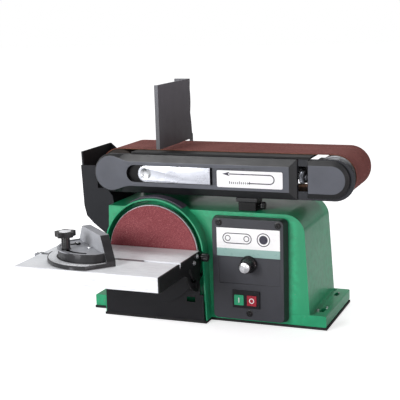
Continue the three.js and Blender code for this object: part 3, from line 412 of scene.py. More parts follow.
def lathe(axis, profile, cu, cv, steps=64, edge=0.0, segments=2, flutes=0, depth=0.0):
    """A closed profile of (radius, place) turned about the axis; flutes cut its widest parts."""
    vertices, faces, rings = [], [], []
    widest = max(radius for radius, _ in profile)
    for radius, w in profile:
        if radius < 1e-6:
            rings.append([len(vertices)] * steps)
            vertices.append(along(axis, cu, cv, w))
            continue
        rings.append(list(range(len(vertices), len(vertices) + steps)))
        for i in range(steps):
            angle = 2 * math.pi * i / steps
            reach = radius
            if flutes and radius > 0.8 * widest:
                reach -= depth * (0.5 - 0.5 * math.cos(flutes * angle)) ** 2
            vertices.append(along(axis, cu + reach * math.cos(angle), cv + reach * math.sin(angle), w))
    for low, high in zip(rings, rings[1:] + rings[:1]):
        if low[0] == low[1] and high[0] == high[1]:
            continue
        for i in range(steps):
            j = (i + 1) % steps
            corners = [low[i], low[j], high[j], high[i]]
            faces.append(tuple(dict.fromkeys(corners)))
    return soften(vertices, faces, edge, segments)


def soften(vertices, faces, edge, segments=3, limit=32):
    """A mesh in millimetres with its sharp edges rounded off."""
    bm = bmesh.new()
    made = [bm.verts.new(v) for v in vertices]
    for face in faces:
        bm.faces.new([made[i] for i in face])
    bmesh.ops.recalc_face_normals(bm, faces=bm.faces[:])
    if edge > 0:
        sharp = [e for e in bm.edges if e.is_manifold and e.calc_face_angle() > math.radians(limit)]
        bmesh.ops.bevel(bm, geom=sharp, offset=edge, offset_type="OFFSET", segments=segments,
                        profile=0.5, affect="EDGES", clamp_overlap=True)
    return bm


def box(x0, x1, y0, y1, z0, z1, edge=0.4, segments=3):
    return plate("z", [[(x0, y0), (x1, y0), (x1, y1), (x0, y1)]], z0, z1, edge, segments)


def tube_along(points, radius, sides=10, closed_ends=True):
    """A round wire along a list of points."""
    vertices, faces = [], []
    path = [Vector(point) for point in points]
    normal = None
    for i, here in enumerate(path):
        ahead = (path[min(i + 1, len(path) - 1)] - path[max(i - 1, 0)]).normalized()
        side = normal if normal is not None else ahead.orthogonal()
        side = (side - ahead * side.dot(ahead)).normalized()
        normal = side
        other = ahead.cross(side)
        for k in range(sides):
            angle = 2 * math.pi * k / sides
            vertices.append(here + (side * math.cos(angle) + other * math.sin(angle)) * radius)
    for i in range(len(path) - 1):
        for k in range(sides):
            a, b = i * sides + k, i * sides + (k + 1) % sides
            faces.append((a, b, b + sides, a + sides))
    if closed_ends:
        faces.append(tuple(range(sides)))
        faces.append(tuple(reversed(range(len(vertices) - sides, len(vertices)))))
    return soften(vertices, faces, 0)


def join(*parts):
    """Puts several meshes into one."""
    whole = parts[0]
    for part in parts[1:]:
        spare = bpy.data.meshes.new("spare")
        part.to_mesh(spare)
        part.free()
        whole.from_mesh(spare)
        bpy.data.meshes.remove(spare)
    return whole


def piece(name, bm, material, body, replaces=(), smooth=38, turn=None):
    """Puts a mesh drawn in the working frame into the scene, on its body."""
    if turn is not None:
        bmesh.ops.transform(bm, matrix=turn, verts=bm.verts[:])
    for vertex in bm.verts:
        vertex.co = place(*vertex.co)
    mesh = bpy.data.meshes.new(name)
    bm.to_mesh(mesh)
    bm.free()
    mesh.shade_smooth()
    mesh.set_sharp_from_angle(angle=math.radians(smooth))
    mesh.materials.append(look[material])
    made = bpy.data.objects.new(name, mesh)
    bpy.context.scene.collection.objects.link(made)
    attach(made, body)
    if replaces:
        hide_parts(*replaces)
    return made


def dress(node, material, edge=0.8, segments=3, flat=True, limit=33):
    """A CAD node in its final finish, with its sharp edges rounded off."""
    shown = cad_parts[node]
    mesh = shown.data
    mesh.shade_smooth()
    mesh.materials.clear()
    mesh.materials.append(look[material])
    shown.modifiers.new("weld", "WELD").merge_threshold = 0.00001
    if flat:
        planar = shown.modifiers.new("flat_faces", "DECIMATE")
        planar.decimate_type = "DISSOLVE"
        planar.angle_limit = math.radians(1.2)
    if edge > 0:
        bevel = shown.modifiers.new("soft_edges", "BEVEL")
        bevel.width = edge * MM
        bevel.segments = segments
        bevel.limit_method = "ANGLE"
        bevel.angle_limit = math.radians(limit)
        bevel.use_clamp_overlap = True
        bevel.miter_outer = "MITER_ARC"
    normals = shown.modifiers.new("even_shading", "WEIGHTED_NORMAL")
    normals.weight = 80
    return shown


# ---------------------------------------------------------------- the finished CAD nodes
def dress_nodes():
    finishes = {
        "paint": (("base_housing", 1.1),),
        "rubber": (("base_plate", 0.6), ("cable_gland", 0.5), ("timing_belt", 0.2)),
        "guard": (("lower_disc_guard", 0.6), ("switch_body", 0.5)),
        "arch": (("upper_disc_guard", 0.5),),
        "plastic": (("disc_dust_port", 0.6), ("motor_fan", 0.3), ("belt_cover", 0.9),
                    ("arm_latch_block", 0.8)),
        "panel": (("control_panel", 0.9),),
        "hood": (("dust_hood", 0.8),),
        "cover": (("arm_cover", 0.35), ("idler_cover", 0.35)),
        "frame": (("arm_frame", 0.3),),
        "black": (("arm_support", 0.8), ("arm_bracket", 0.8), ("table_bracket_right", 0.3),
                  ("table_bracket_left", 0.3), ("table_end_plate", 0.3), ("table_ear", 0.3),
                  ("platen", 0.4), ("idler_block", 0.4)),
        "grey": (("work_stop", 0.5),),
        "cast": (("motor_front_bell", 0.6), ("motor_rear_bell", 0.6), ("motor_housing", 0.4)),
        "steel": (("motor_front_bearing", 0.3), ("motor_rear_bearing", 0.3), ("rotor_shaft", 0.4),
                  ("motor_pulley", 0.3), ("drum_pulley", 0.3), ("drum_shaft", 0.4), ("drum_bearing", 0.3),
                  ("idler_shaft", 0.4),
                  ("mitre_bar", 0.3)),
        "board": (("speed_control_board", 0.2),),
        "copper": (("stator_winding", 1.2),),
        "table": (("table", 0.5),),
    }
    for finish, nodes in finishes.items():
        for node, edge in nodes:
            dress(node, finish, edge, limit=12 if finish == "cover" else 33)


# ---------------------------------------------------------------- disc
def make_disc():
    paper = Room("abrasive_disc")
    back = Room("disc_plate")
    radius = back.x1
    piece("disc_paper", lathe("y", [(0, paper.y0), (radius - 1.7, paper.y0), (radius - 1.4, paper.y0 + 0.3),
                                    (radius - 1.4, paper.y1), (0, paper.y1)], 0, paper.z, 160),
          "disc_grit", "disc_spindle", ["abrasive_disc"])
    rim = back.y0 + 6
    profile = [(0, back.y0), (radius - 0.5, back.y0), (radius, back.y0 + 0.5), (radius, rim - 0.6),
               (radius - 0.6, rim), (radius - 6, rim), (radius - 8, rim - 2), (24, rim - 2), (21, rim - 1),
               (15, back.y1 - 1), (14, back.y1), (8.6, back.y1), (8.3, back.y0 + 3), (0, back.y0 + 3)]
    piece("disc_backing", lathe("y", profile, 0, back.z, 160), "bright", "disc_spindle",
          ["disc_plate"])


# ---------------------------------------------------------------- belt and rollers
def loop_point(inner, distance, left, right, z):
    """Where a point a distance along a loop round two equal rollers lies, and which way is out."""
    straight = right - left
    half = math.pi * inner
    distance %= 2 * (straight + half)
    if distance < straight:
        return left + distance, z + inner, 0.0, 1.0
    distance -= straight
    if distance < half:
        angle = math.pi / 2 - distance / inner
        return right + inner * math.cos(angle), z + inner * math.sin(angle), math.cos(angle), math.sin(angle)
    distance -= half
    if distance < straight:
        return right - distance, z - inner, 0.0, -1.0
    distance -= straight
    angle = -math.pi / 2 - distance / inner
    return left + inner * math.cos(angle), z + inner * math.sin(angle), math.cos(angle), math.sin(angle)


def make_belt():
    room = Room("sanding_belt")
    roller = Room("idler_roller")
    drum = Room("drive_drum")
    outer = (room.z1 - room.z0) / 2
    inner = outer - 1.2
    length = 2 * (roller.x - drum.x + math.pi * inner)
    along_steps, across_steps = 230, 12
    wide = room.y1 - room.y0
    for name, low, high, material in (("belt_cloth", inner, inner + 0.55, "cloth"),
                                      ("belt_grit_face", inner + 0.55, outer, "belt_grit")):
        vertices, faces = [], []
        for i in range(along_steps):
            for side in (low, high):
                for k in range(across_steps + 1):
                    across = k / across_steps
                    x, z, nx, nz = loop_point(inner, length * i / along_steps, drum.x, roller.x, room.z)
                    # A slanted joint, where the belt's two ends meet, stands a hair proud.
                    seam = abs((length * i / along_steps - 235) - 40 * (across - 0.5))
                    frayed = 0.25 * math.sin(i * 1.9) * math.sin(i * 0.7) if k in (0, across_steps) else 0.0
                    rise = side - inner
                    if side == outer:
                        rise -= 0.16 if seam > 4 else 0.0
                    y = room.y0 + 0.25 + (wide - 0.5) * across + frayed
                    vertices.append((x + nx * rise, y, z + nz * rise))
        row = across_steps + 1
        for i in range(along_steps):
            here, ahead = 2 * row * i, 2 * row * ((i + 1) % along_steps)
            for k in range(across_steps):
                faces.append((here + k, here + k + 1, ahead + k + 1, ahead + k))
                faces.append((here + row + k, ahead + row + k, ahead + row + k + 1, here + row + k + 1))
            faces.append((here, ahead, ahead + row, here + row))
            k = across_steps
            faces.append((here + k, here + row + k, ahead + row + k, ahead + k))
        stands_for = ["sanding_belt"] if material == "belt_grit" else []
        piece(name, soften(vertices, faces, 0), material, "arm", stands_for, 30)


def make_rollers():
    drum = Room("drive_drum")
    radius = drum.x1 - drum.x
    grooves = []
    for i in range(9):
        y = drum.y0 + 10 + i * 9.7
        grooves += [(radius, y), (radius - 0.8, y + 0.8), (radius - 0.8, y + 1.6), (radius, y + 2.4)]
    profile = [(8.3, drum.y0), (radius - 1.2, drum.y0), (radius, drum.y0 + 1.2), *grooves,
               (radius, drum.y1 - 1.2), (radius - 1.2, drum.y1), (8.3, drum.y1)]
    piece("drum_tyre", lathe("y", profile, drum.x, drum.z, 96), "drum", "drum_spindle",
          ["drive_drum"])
    idler = Room("idler_roller")
    radius = idler.x1 - idler.x
    profile = [(6.4, idler.y0), (12, idler.y0), (13, idler.y0 + 1.5), (radius - 4, idler.y0 + 1.5),
               (radius - 3, idler.y0), (radius - 0.8, idler.y0), (radius - 0.3, idler.y0 + 0.8),
               (radius, idler.y),
               (radius - 0.3, idler.y1 - 0.8), (radius - 0.8, idler.y1), (radius - 3, idler.y1),
               (radius - 4, idler.y1 - 1.5), (13, idler.y1 - 1.5), (12, idler.y1), (6.4, idler.y1)]
    piece("idler_barrel", lathe("y", profile, idler.x, idler.z, 96), "bright", "idler_roller",
          ["idler_roller"])
    spring = Room("tension_spring")
    turns, wire = 7, 1.1
    steps = 26 * turns
    coil = []
    for i in range(steps + 1):
        angle = 2 * math.pi * turns * i / steps
        reach = (spring.z1 - spring.z0) / 2 - wire
        x = spring.x0 + wire + (spring.x1 - spring.x0 - 2 * wire) * i / steps
        coil.append((x, spring.y + reach * math.cos(angle), spring.z + reach * math.sin(angle)))
    piece("tension_coil", tube_along(coil, wire, 8), "steel", "arm", ["tension_spring"])


# ---------------------------------------------------------------- arm
def make_lever():
    room = Room("tension_lever")
    radius = (room.z1 - room.z0) / 2
    centre = room.x0 + radius
    outline = [(room.x1, room.z0), (room.x1, room.z1)] + arc(centre, room.z, radius, 90, 270, 28)
    face = room.y0 + 0.2
    bar = plate("y", [outline, ring(centre, room.z, 8.6)], face, face + 2.6, 0.6)
    dish = [(8.7, face + 0.3), (9.4, face - 0.2), (8.9, face - 0.2), (8.1, face + 0.25), (6.4, face + 1.1),
            (3.4, face + 1.8), (0, face + 2.0), (0, face + 2.5), (8.7, face + 2.5)]
    hinge = lathe("z", [(0, room.z0 + 1), (2.2, room.z0 + 1), (2.2, room.z1 - 1), (0, room.z1 - 1)],
                  room.x1 - 3, room.y1 - 0.2, 24, 0.3)
    piece("lever_bar", bar, "lever", "tension_lever", ["tension_lever"])
    piece("lever_dish", lathe("y", dish, centre, room.z, 64), "plated", "tension_lever")
    piece("lever_hinge", hinge, "steel", "tension_lever")


def make_tracking_knob():
    room = Room("tracking_knob")
    radius = (room.z1 - room.z0) / 2
    x = room.x0
    wheel = lathe("x", [(0, x), (radius - 1.2, x), (radius, x + 0.9), (radius, x + 6.6),
                        (radius - 1.2, x + 7.5),
                        (0, x + 7.5)], room.y, room.z, 180, flutes=30, depth=0.7)
    stem = lathe("x", [(0, x + 7), (5, x + 7), (5, x + 10), (3, x + 11), (3, room.x1), (0, room.x1)],
                 room.y, room.z, 40, 0.2)
    piece("tracking_wheel", join(wheel, stem), "knurl", "tracking_knob", ["tracking_knob"], 50)


def make_arm_label():
    room = Room("arm_label")
    back, face = room.y1, room.y0 + 0.15
    piece("arm_label_foil", plate("y", [rounded(room.x0, room.x1, room.z0, room.z1, 2.2)], face, back, 0.15),
          "white", "arm", ["arm_label"])
    top, bottom = room.z1 - 5.2, room.z0 + 7.2
    bend = room.x1 - 20
    middle, reach = (top + bottom) / 2, (top - bottom) / 2
    half = 0.85
    ink = face - 0.06
    outer = [(room.x0 + 20, top + half)] + arc(bend, middle, reach + half, 90, -90, 20)
    outer += [(bend - 34, bottom - half), (bend - 34, bottom + half)]
    inner = arc(bend, middle, reach - half, -90, 90, 20) + [(room.x0 + 20, top - half)]
    line = plate("y", [outer + inner], ink, face + 0.05, 0)
    head = [(room.x0 + 9, top), (room.x0 + 21, top + 3.4), (room.x0 + 18.6, top), (room.x0 + 21, top - 3.4)]
    piece("belt_direction_arrow", join(line, plate("y", [head], ink, face + 0.05, 0)), "dark_print",
          "arm")
    ticks = [box(room.x0 + 20 + 3.2 * i, room.x0 + 21.2 + 3.2 * i, ink, face + 0.05, bottom - 1.6,
                 bottom + (1.6 if i % 5 else 2.6), 0) for i in range(11)]
    piece("belt_width_ticks", join(*ticks), "dark_print", "arm")


def make_arm_hardware():
    stop = Room("work_stop")
    frame_room = Room("arm_frame")
    # A black sheet over the frame in the lever slot, where the frame lies in shade: painted shade.
    piece("lever_slot_shade_sheet", plate("y", [rounded(-56, 72, 212, 241, 6)], frame_room.y0 - 0.6,
                                      frame_room.y0 - 0.1, 0.15), "black", "arm")
    for k, x in enumerate((stop.x1 - 9, stop.x1 - 20)):
        bolt(f"work_stop_bolt_{k + 1}", (x, stop.y1, 250), "y", 4.6, "arm", 1)
    for k, x in enumerate((-4, 150)):
        screw(f"frame_screw_{k + 1}", (x, frame_room.y1 + 0.2, 229), "y", 3.6, "arm", 1, "plated")


# ---------------------------------------------------------------- fasteners
def drawn_along(axis, sign, bm, centre):
    """Turns a fastener drawn with its head towards +Z so that it looks along the signed axis."""
    towards = {"x": Vector((1, 0, 0)), "y": Vector((0, 1, 0)), "z": Vector((0, 0, 1))}[axis] * sign
    turn = towards.to_track_quat("Z", "Y" if axis != "y" else "X").to_matrix().to_4x4()
    bmesh.ops.transform(bm, matrix=Matrix.Translation(Vector(centre)) @ turn, verts=bm.verts[:])
    return bm


def screw(name, centre, axis, radius, body, sign=-1, material="knob"):
    """A pan-head screw with a cross recess; the centre lies on the face that it clamps."""
    tall = radius * 0.55
    steps = 48
    arm, reach = radius * 0.16, radius * 0.62
    cross = [(arm, arm), (arm, reach), (-arm, reach), (-arm, arm), (-reach, arm), (-reach, -arm),
             (-arm, -arm), (-arm, -reach), (arm, -reach), (arm, -arm), (reach, -arm), (reach, arm)]
    rim = ring(0, 0, radius * 0.78, steps)
    top = plate("z", [rim, cross], tall * 0.35, tall, 0)
    skirt = lathe("z", [(radius * 0.78, tall), (radius * 0.93, tall * 0.8), (radius, tall * 0.4), (radius, 0),
                        (0, 0), (0, tall * 0.34), (radius * 0.7, tall * 0.34), (radius * 0.7, tall * 0.36),
                        (radius * 0.78, tall * 0.36)], 0, 0, steps)
    return piece(name, drawn_along(axis, sign, join(top, skirt), centre), material, body, smooth=50)


def bolt(name, centre, axis, radius, body, sign=-1, material="plated", washer=1.75):
    """A hexagon head on a plain washer, or without the washer where washer is 0."""
    parts = []
    seat = 0.0
    if washer:
        seat = radius * 0.24
        parts.append(lathe("z", [(0, 0), (radius * washer, 0), (radius * washer, seat), (0, seat)], 0, 0,
                           48, 0.15))
    hexagon = [(radius * 1.12 * math.cos(math.radians(60 * i)),
                radius * 1.12 * math.sin(math.radians(60 * i)))
               for i in range(6)]
    parts.append(plate("z", [hexagon], seat, seat + radius * 0.72, radius * 0.1))
    parts.append(lathe("z", [(0, seat + radius * 0.6), (radius * 0.86, seat + radius * 0.6),
                             (radius * 0.8, seat + radius * 0.84), (0, seat + radius * 0.84)], 0, 0, 40, 0.1))
    return piece(name, drawn_along(axis, sign, join(*parts), centre), material, body, smooth=40)


# ---------------------------------------------------------------- control panel
def make_panel():
    face = Room("control_panel").y0
    label = Room("label_plate")
    split = label.z0 + 12.5
    knob = Room("speed_knob")
    knob_z, knob_x = knob.z, knob.x
    front, back = label.y0 + 0.15, label.y1
    room = 13.9
    low = []
    half = math.degrees(math.acos((label.z0 - knob_z) / room)) if label.z0 - knob_z < room else 0
    if half:
        low = [(knob_x + room * math.sin(math.radians(a)), knob_z + room * math.cos(math.radians(a)))
               for a in [-half + 2 * half * i / 16 for i in range(17)]]
    outline = [(label.x0, split), (label.x0, label.z0), *low, (label.x1, label.z0), (label.x1, split)]
    piece("label_foot", plate("y", [outline], front, back, 0.12), "green_print", "base",
          ["label_plate"])
    piece("label_head", plate("y", [[(label.x0, split + 0.02), (label.x1, split + 0.02), (label.x1, label.z1),
                                     (label.x0, label.z1)]], front, back, 0.12), "white", "base")
    ink = front - 0.07
    # A plain picture of what the machine does: a belt round two rollers beside a disc.
    cx, cz = label.x0 + 33, (split + label.z1) / 2
    outer = arc(cx + 15, cz, 8.4, -90, 90, 16) + arc(cx - 15, cz, 8.4, 90, 270, 16)
    inner = arc(cx + 15, cz, 7.0, -90, 90, 16) + arc(cx - 15, cz, 7.0, 90, 270, 16)
    marks = [plate("y", [outer, inner], ink, front + 0.05, 0)]
    for x in (cx - 15, cx + 15):
        marks.append(plate("y", [ring(x, cz, 4.6), ring(x, cz, 3.4)], ink, front + 0.05, 0))
    marks.append(plate("y", [ring(cx + 42, cz, 10.5), ring(cx + 42, cz, 9.1)], ink, front + 0.05, 0))
    marks.append(plate("y", [ring(cx + 42, cz, 6.8)], ink, front + 0.05, 0))
    piece("label_pictogram", join(*marks), "dark_print", "base")
    for k, (x, z) in enumerate(((108.6, 161), (202.6, 160.4), (155.4, 20))):
        seat = lathe("y", [(0, face - 0.3), (5.1, face - 0.3), (5.6, face), (5.6, face + 0.4),
                           (0, face + 0.4)], x, z)
        piece(f"panel_screw_seat_{k + 1}", seat, "plastic", "base")
        screw(f"panel_screw_{k + 1}", (x, face - 0.3, z), "y", 3.9, "base", -1, "knob")


def make_speed_knob():
    room = Room("speed_knob")
    cap = Room("speed_knob_cap")
    radius = room.x1 - room.x
    tip = cap.x1 - cap.x
    y0, y1 = room.y0, Room("control_panel").y0 + 0.7
    skirt = [(0, y1), (radius, y1), (radius, y1 - 3.4), (radius - 0.6, y1 - 4.4), (tip + 3.0, y1 - 6),
             (tip + 1.9, y1 - 7.5), (tip + 1.3, y0 + 0.8), (tip + 0.5, y0), (tip + 0.2, y0 + 0.2),
             (tip + 0.2, y0 + 2),
             (0, y0 + 2)]
    body = lathe("y", skirt, room.x, room.z, 120)
    grips = []
    for i in range(20):
        angle = 2 * math.pi * i / 20
        x, z = room.x + (tip + 1.5) * math.cos(angle), room.z + (tip + 1.5) * math.sin(angle)
        grips.append(lathe("y", [(0, y1 - 6.5), (0.75, y1 - 6.5), (0.6, y0 + 1.6), (0, y0 + 1.2)], x, z, 10))
    stem = lathe("y", [(0, y1 - 1), (3, y1 - 1), (3, room.y1), (0, room.y1)], room.x, room.z, 24)
    piece("speed_knob_body", join(body, stem, *grips), "knob", "speed_knob",
          ["speed_knob"], 40)
    face = [(0, cap.y0), (tip - 0.9, cap.y0), (tip, cap.y0 + 0.7), (tip, cap.y1), (0, cap.y1)]
    look["knob_face"] = spun("knob_face", rgb(246, 247, 250), place(room.x, 0, room.z))
    piece("speed_knob_disc", lathe("y", face, room.x, room.z, 96), "knob_face", "speed_knob",
          ["speed_knob_cap"])
    pointer = box(room.x + tip + 2.9, room.x + radius - 0.5, y1 - 4.7, y1 - 3.9, room.z - 0.7,
                  room.z + 0.7, 0.1)
    piece("speed_pointer", pointer, "white", "speed_knob")


def make_switch():
    for node, material, slot in (("start_button", "go", "button_green"),
                                 ("stop_button", "stop", "button_red")):
        room = Room(node)
        outline = rounded(room.x0, room.x1, room.z0, room.z1, 0.9)
        cap = plate("y", [outline], room.y0 + 0.15, room.y1, 0.7, 4)
        piece(f"{node}_cap", cap, material, node, [node])
        face = room.y0 + 0.15
        ink = (face - 0.08, face + 0.05)
        if node == "start_button":
            mark = plate("y", [rounded(room.x - 0.65, room.x + 0.65, room.z - 4, room.z + 4, 0.6, 4)],
                         *ink, 0)
        else:
            mark = plate("y", [ring(room.x, room.z, 4.1), ring(room.x, room.z, 2.9)], *ink, 0)
        piece(f"{node}_mark", mark, "white", node)


# ---------------------------------------------------------------- table and mitre gauge
def make_table_hardware():
    end = Room("table_end_plate")
    for k, (y, z) in enumerate(((-52, 104.5), (-40, 112))):
        bolt(f"table_bolt_{k + 1}", (end.x1, y, z), "x", 2.6, "table", 1, "plated", 1.5)
    room = Room("table_lock_knob")
    radius = (room.z1 - room.z0) / 2
    x0, x1 = room.x0, room.x1
    profile = [(0, x0), (radius - 2, x0), (radius - 1.6, x0 + 2.4), (radius, x0 + 3.2), (radius, x1 - 1.6),
               (radius - 1.4, x1), (0, x1)]
    wheel = lathe("x", profile, room.y, room.z, 126, flutes=7, depth=1.1)
    piece("table_lock_grip", wheel, "knob", "table_lock_knob", ["table_lock_knob"], 45)
    lock = Room("arm_lock_screw")
    radius = (lock.z1 - lock.z0) / 2
    head = lathe("x", [(0, lock.x1 - 9), (radius - 1.5, lock.x1 - 9), (radius, lock.x1 - 7.5),
                       (radius, lock.x1 - 1),
                       (radius - 1, lock.x1), (0, lock.x1)], lock.y, lock.z, 120, flutes=12, depth=0.6)
    stem = lathe("x", [(0, lock.x0), (3, lock.x0), (3, lock.x1 - 8), (0, lock.x1 - 8)], lock.y, lock.z,
                 32, 0.2)
    piece("arm_lock_grip", join(head, stem), "knob", "arm_lock_screw",
          ["arm_lock_screw"], 45)


# The mitre head stands turned on its pivot; its hub is flat on top, with the clamp knob beside it.
GAUGE_ANGLE = 48
HUB_TOP = 134.8
KNOB_X, KNOB_Y = -47.6, 4.0
STAR_RADIUS, STAR_LOBE, STAR_POINTS = 14.6, 1.9, 5


def gauge_turn():
    """The mitre head's own frame: pivot at the middle, turned to where it stands."""
    pivot = Room("pivot_screw")
    return Matrix.Translation((pivot.x, pivot.y, 0)) @ Matrix.Rotation(math.radians(GAUGE_ANGLE), 4, "Z")


def make_gauge():
    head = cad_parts["mitre_head"]
    angle = math.radians(GAUGE_ANGLE)
    inner = Vector((-math.cos(angle), -math.sin(angle), 0))
    n = Nodes("mitre_casting")
    cloud = n.noise(20, 5)
    tint = n.ramp(cloud, (0.3, rgb(22, 22, 24)), (0.7, rgb(34, 34, 38)))
    painted_sheen_grey = n.ramp(n.noise(0.5, 3, (0.05, 1, 1)), (0.3, rgb(138, 140, 146)), (0.7, rgb(176, 178, 184)))
    # The hub's top and the face of the fence above it get a painted sheen: light grey in place of the glossy
    # black casting's reflection.
    low = head.matrix_world.inverted() @ place(0, 0, HUB_TOP - 0.5)
    split = n.add("ShaderNodeSeparateXYZ")
    n.feed(split.inputs[0], n.coords.outputs["Object"])
    above = n.range(split.outputs["Z"], low.z, low.z + 0.0002, 0.0, 1.0)
    ground = n.maths("MAXIMUM", n.facing((0, 0, 1), 0.9, 0.98), n.facing(inner, 0.9, 0.98))
    ground = n.maths("MULTIPLY", ground, above)
    tint = n.mix(ground, tint, painted_sheen_grey)
    # Raised edges lighter: rubbed wear together with a painted edge highlight.
    tint = n.mix(n.maths("MULTIPLY", n.edges(), n.noise(5, 4)), tint, rgb(150, 150, 154))
    look["mitre"] = n.done(tint, n.range(cloud, 0.3, 0.7, 0.32, 0.46),
                           normal=n.bump(n.noise(1.4, 4), 0.07, 0.6))
    dress("mitre_head", "mitre", 0.5)
    dress("mitre_scale", "table", 0)
    turn = gauge_turn()
    top = Room("mitre_scale").z1
    marks = []
    for degrees in range(-60, 61, 5):
        angle = math.radians(180 + degrees)
        reach = 65.5 if degrees % 15 == 0 else 68.5
        tick = box(reach, 72.6, -0.22, 0.22, top - 0.05, top + 0.06, 0)
        bmesh.ops.transform(tick, matrix=Matrix.Rotation(angle, 4, "Z"), verts=tick.verts[:])
        marks.append(tick)
    piece("mitre_degree_marks", join(*marks), "dark_print", "mitre_head", turn=turn)
    dress("pivot_screw", "plated", 0.2)
    screw("mitre_hub_screw", turn @ Vector((-14, -6, HUB_TOP)), "z", 3.4, "mitre_head", 1, "plated")
    bracket = box(-25, -18.6, 20, 30, 134.9, 137.4, 0.4)
    finger = plate("z", [[(-25, 24), (-36, 25.4), (-36, 26.6), (-25, 28)]], 135.2, 136.4, 0.2)
    piece("mitre_pointer", join(bracket, finger), "black", "mitre_head", turn=turn)
    screw("mitre_pointer_screw", turn @ Vector((-21.8, 25, 137.3)), "z", 2.4, "mitre_head", 1, "plated")
    bar, bar_top = Room("mitre_bar"), Room("table").z1
    piece("mitre_bar_stop", box(-136, -127, bar.y - 4, bar.y + 4, bar_top - 0.2, bar_top + 3.5, 0.6), "black",
          "mitre_slide")
    screw("mitre_bar_screw", (-152, bar.y, bar_top), "z", 3.6, "mitre_slide", 1, "plated")


def make_mitre_knob():
    room = Room("mitre_knob")
    turn = gauge_turn()
    top = room.z1
    lobes = []
    for i in range(120):
        angle = 2 * math.pi * i / 120
        reach = STAR_RADIUS + STAR_LOBE * math.cos(STAR_POINTS * angle) - 0.2
        lobes.append((KNOB_X + reach * math.cos(angle), KNOB_Y + reach * math.sin(angle)))
    star = plate("z", [lobes], top - 8, top - 0.5, 1.4, 4)
    stem = lathe("z", [(0, room.z0), (2.8, room.z0), (2.8, 135.2), (7.2, 135.2), (6.5, 138.6),
                       (6.5, top - 7.6),
                       (0, top - 7.6)], KNOB_X, KNOB_Y, 64, 0.2)
    piece("mitre_knob_body", join(star, stem), "knob", "mitre_knob", ["mitre_knob"], 42,
          turn)
    # A bright aluminium disc on the black knob's top: a painted highlight.
    painted_top_highlight = lathe("z", [(0, top - 0.6), (9, top - 0.6), (9, top - 0.3), (8.4, top - 0.05), (0, top - 0.05)],
                  KNOB_X, KNOB_Y, 64)
    piece("mitre_knob_top_highlight", painted_top_highlight, "table", "mitre_knob", turn=turn)


# ---------------------------------------------------------------- base details
def make_base_details():
    right_top = 21.5
    for k, (x, y, radius) in enumerate(((252, 26, 2.6), (262, 44, 1.8), (261, 122, 1.8))):
        stud = lathe("z", [(0, right_top - 0.5), (radius, right_top - 0.5), (radius, right_top + 1.2),
                           (radius * 0.6, right_top + 2), (0, right_top + 2.1)], x, y, 32)
        piece(f"foot_stud_{k + 1}", stud, "plated", "base")
    screw("guard_screw", (69.3, Room("lower_disc_guard").y0 + 2.4, 62.5), "y", 3.8, "base", -1, "knob")
    disc = Room("abrasive_disc")
    # A thin black skin inside the lower half of the round bay that the disc turns in.
    bay_radius, liner_radius = 82.05, 81.6
    start, end = 184, 356
    liner = arc(disc.x, disc.z, bay_radius, start, end, 60) + arc(disc.x, disc.z, liner_radius, end,
            start, 60)
    piece("bay_liner", plate("y", [liner], -8, 5.8, 0), "plastic", "base")
    cover = Room("belt_cover")
    # Two screws round each pulley, inside the cover's own outline.
    spots = []
    for pulley, reach, turns in ((Room("drum_pulley"), 24, (75, 195)),
                                 (Room("motor_pulley"), 17, (-110, 10))):
        spots += [(pulley.x + reach * math.cos(math.radians(turn)),
                   pulley.z + reach * math.sin(math.radians(turn)))
                  for turn in turns]
    for k, (x, z) in enumerate(spots):
        screw(f"belt_cover_screw_{k + 1}", (x, cover.y1 - 2.2, z), "y", 3.8, "base", 1, "plated")


# ---------------------------------------------------------------- camera, floor and light
# Where the camera stands, solved from the machine's straight edges. Angles are in degrees.
VIEW_AZIMUTH, VIEW_ELEVATION, VIEW_ROLL = 22.09, 11.35, -1.72
VIEW_DISTANCE = 1.57194
VIEW_TARGET = (53.47, 50, 180.1)


def make_camera():
    azimuth, elevation = math.radians(VIEW_AZIMUTH), math.radians(VIEW_ELEVATION)
    roll = math.radians(VIEW_ROLL)
    back = Vector((math.sin(azimuth) * math.cos(elevation), -math.cos(azimuth) * math.cos(elevation),
                   math.sin(elevation)))
    data = bpy.data.cameras.new("camera")
    data.lens = 88.67
    data.sensor_width = 36
    data.clip_end = 20
    across = (-back).cross(UP).normalized()
    upward = across.cross(-back)
    right = across * math.cos(roll) + upward * math.sin(roll)
    top = upward * math.cos(roll) - across * math.sin(roll)
    camera = bpy.data.objects.new("camera", data)
    pose = Matrix((right, top, back)).transposed().to_4x4()
    pose.translation = place(*VIEW_TARGET) + back * VIEW_DISTANCE
    camera.matrix_world = pose
    bpy.context.scene.collection.objects.link(camera)
    bpy.context.scene.camera = camera


def soft_box(name, position, target, size, power, colour=(1, 1, 1)):
    data = bpy.data.lights.new(name, "AREA")
    data.shape = "RECTANGLE"
    data.size, data.size_y = size
    data.energy = power
    data.color = colour
    lamp = bpy.data.objects.new(name, data)
    lamp.location = Vector(position)
    lamp.rotation_euler = (Vector(target) - lamp.location).to_track_quat("-Z", "Y").to_euler()
    bpy.context.scene.collection.objects.link(lamp)


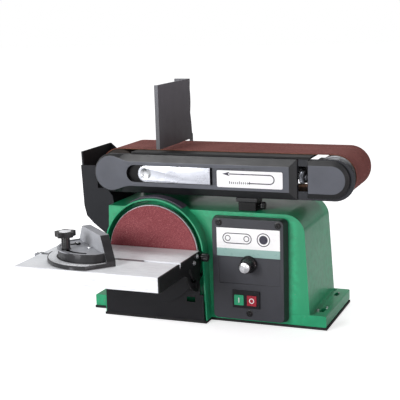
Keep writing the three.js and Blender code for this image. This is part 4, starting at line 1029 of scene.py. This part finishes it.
def make_studio():
    floor = bpy.data.meshes.new("studio_floor")
    floor.from_pydata([(-9, -9, -0.0006), (9, -9, -0.0006), (9, 9, -0.0006), (-9, 9, -0.0006)], [],
                      [(0, 1, 2, 3)])
    n = Nodes("studio_floor")
    n.done(rgb(238, 238, 240), 0.8, specular=0.0)
    # The camera sees the floor as a lit white sheet, on which only the contact shadow shows.
    seen = n.add("ShaderNodeLightPath").outputs["Is Camera Ray"]
    n.shader.inputs["Emission Color"].default_value = (1, 1, 1, 1)
    reach = n.add("ShaderNodeVectorMath", operation="LENGTH")
    n.feed(reach.inputs[0], n.coords.outputs["Object"])
    glow = n.range(reach.outputs["Value"], 0.5, 3.0, 0.62, 1.0)
    n.feed(n.shader.inputs["Emission Strength"], n.maths("MULTIPLY", seen, glow))
    floor.materials.append(n.material)
    ground = bpy.data.objects.new("studio_floor", floor)
    bpy.context.scene.collection.objects.link(ground)
    middle = (0.0, -0.05, 0.17)
    soft_box("key_light", (-0.95, -1.95, 0.85), middle, (0.9, 0.9), 36)
    soft_box("front_fill", (0.9, -2.1, 0.45), middle, (1.2, 0.8), 7)
    soft_box("top_strip", (-0.1, 0.7, 1.6), middle, (1.6, 0.25), 13)
    soft_box("left_strip", (-1.7, 0.1, 0.5), middle, (0.2, 0.9), 7)
    soft_box("side_fill", (1.9, -0.5, 0.5), middle, (0.5, 1.2), 5, (1.0, 0.62, 0.68))
    world = bpy.data.worlds.new("studio")
    world.use_nodes = True
    tree = world.node_tree
    sky = tree.nodes["Background"]
    sky.inputs["Color"].default_value = (1, 1, 1, 1)
    # White behind the machine; weaker where it lights or is reflected.
    path = tree.nodes.new("ShaderNodeLightPath")
    strength = SKY_LIGHT
    for output, value in (("Is Glossy Ray", SKY_GLOSS), ("Is Camera Ray", 1.0)):
        blend = tree.nodes.new("ShaderNodeMix")
        tree.links.new(path.outputs[output], blend.inputs[0])
        if isinstance(strength, float):
            blend.inputs[2].default_value = strength
        else:
            tree.links.new(strength, blend.inputs[2])
        blend.inputs[3].default_value = value
        strength = blend.outputs[0]
    tree.links.new(strength, sky.inputs["Strength"])
    bpy.context.scene.world = world
    bpy.context.scene.view_settings.view_transform = "Standard"


make_camera()
dress_nodes()
make_disc()
make_belt()
make_rollers()
make_lever()
make_tracking_knob()
make_arm_label()
make_arm_hardware()
make_panel()
make_speed_knob()
make_switch()
make_table_hardware()
make_gauge()
make_mitre_knob()
make_base_details()
make_studio()
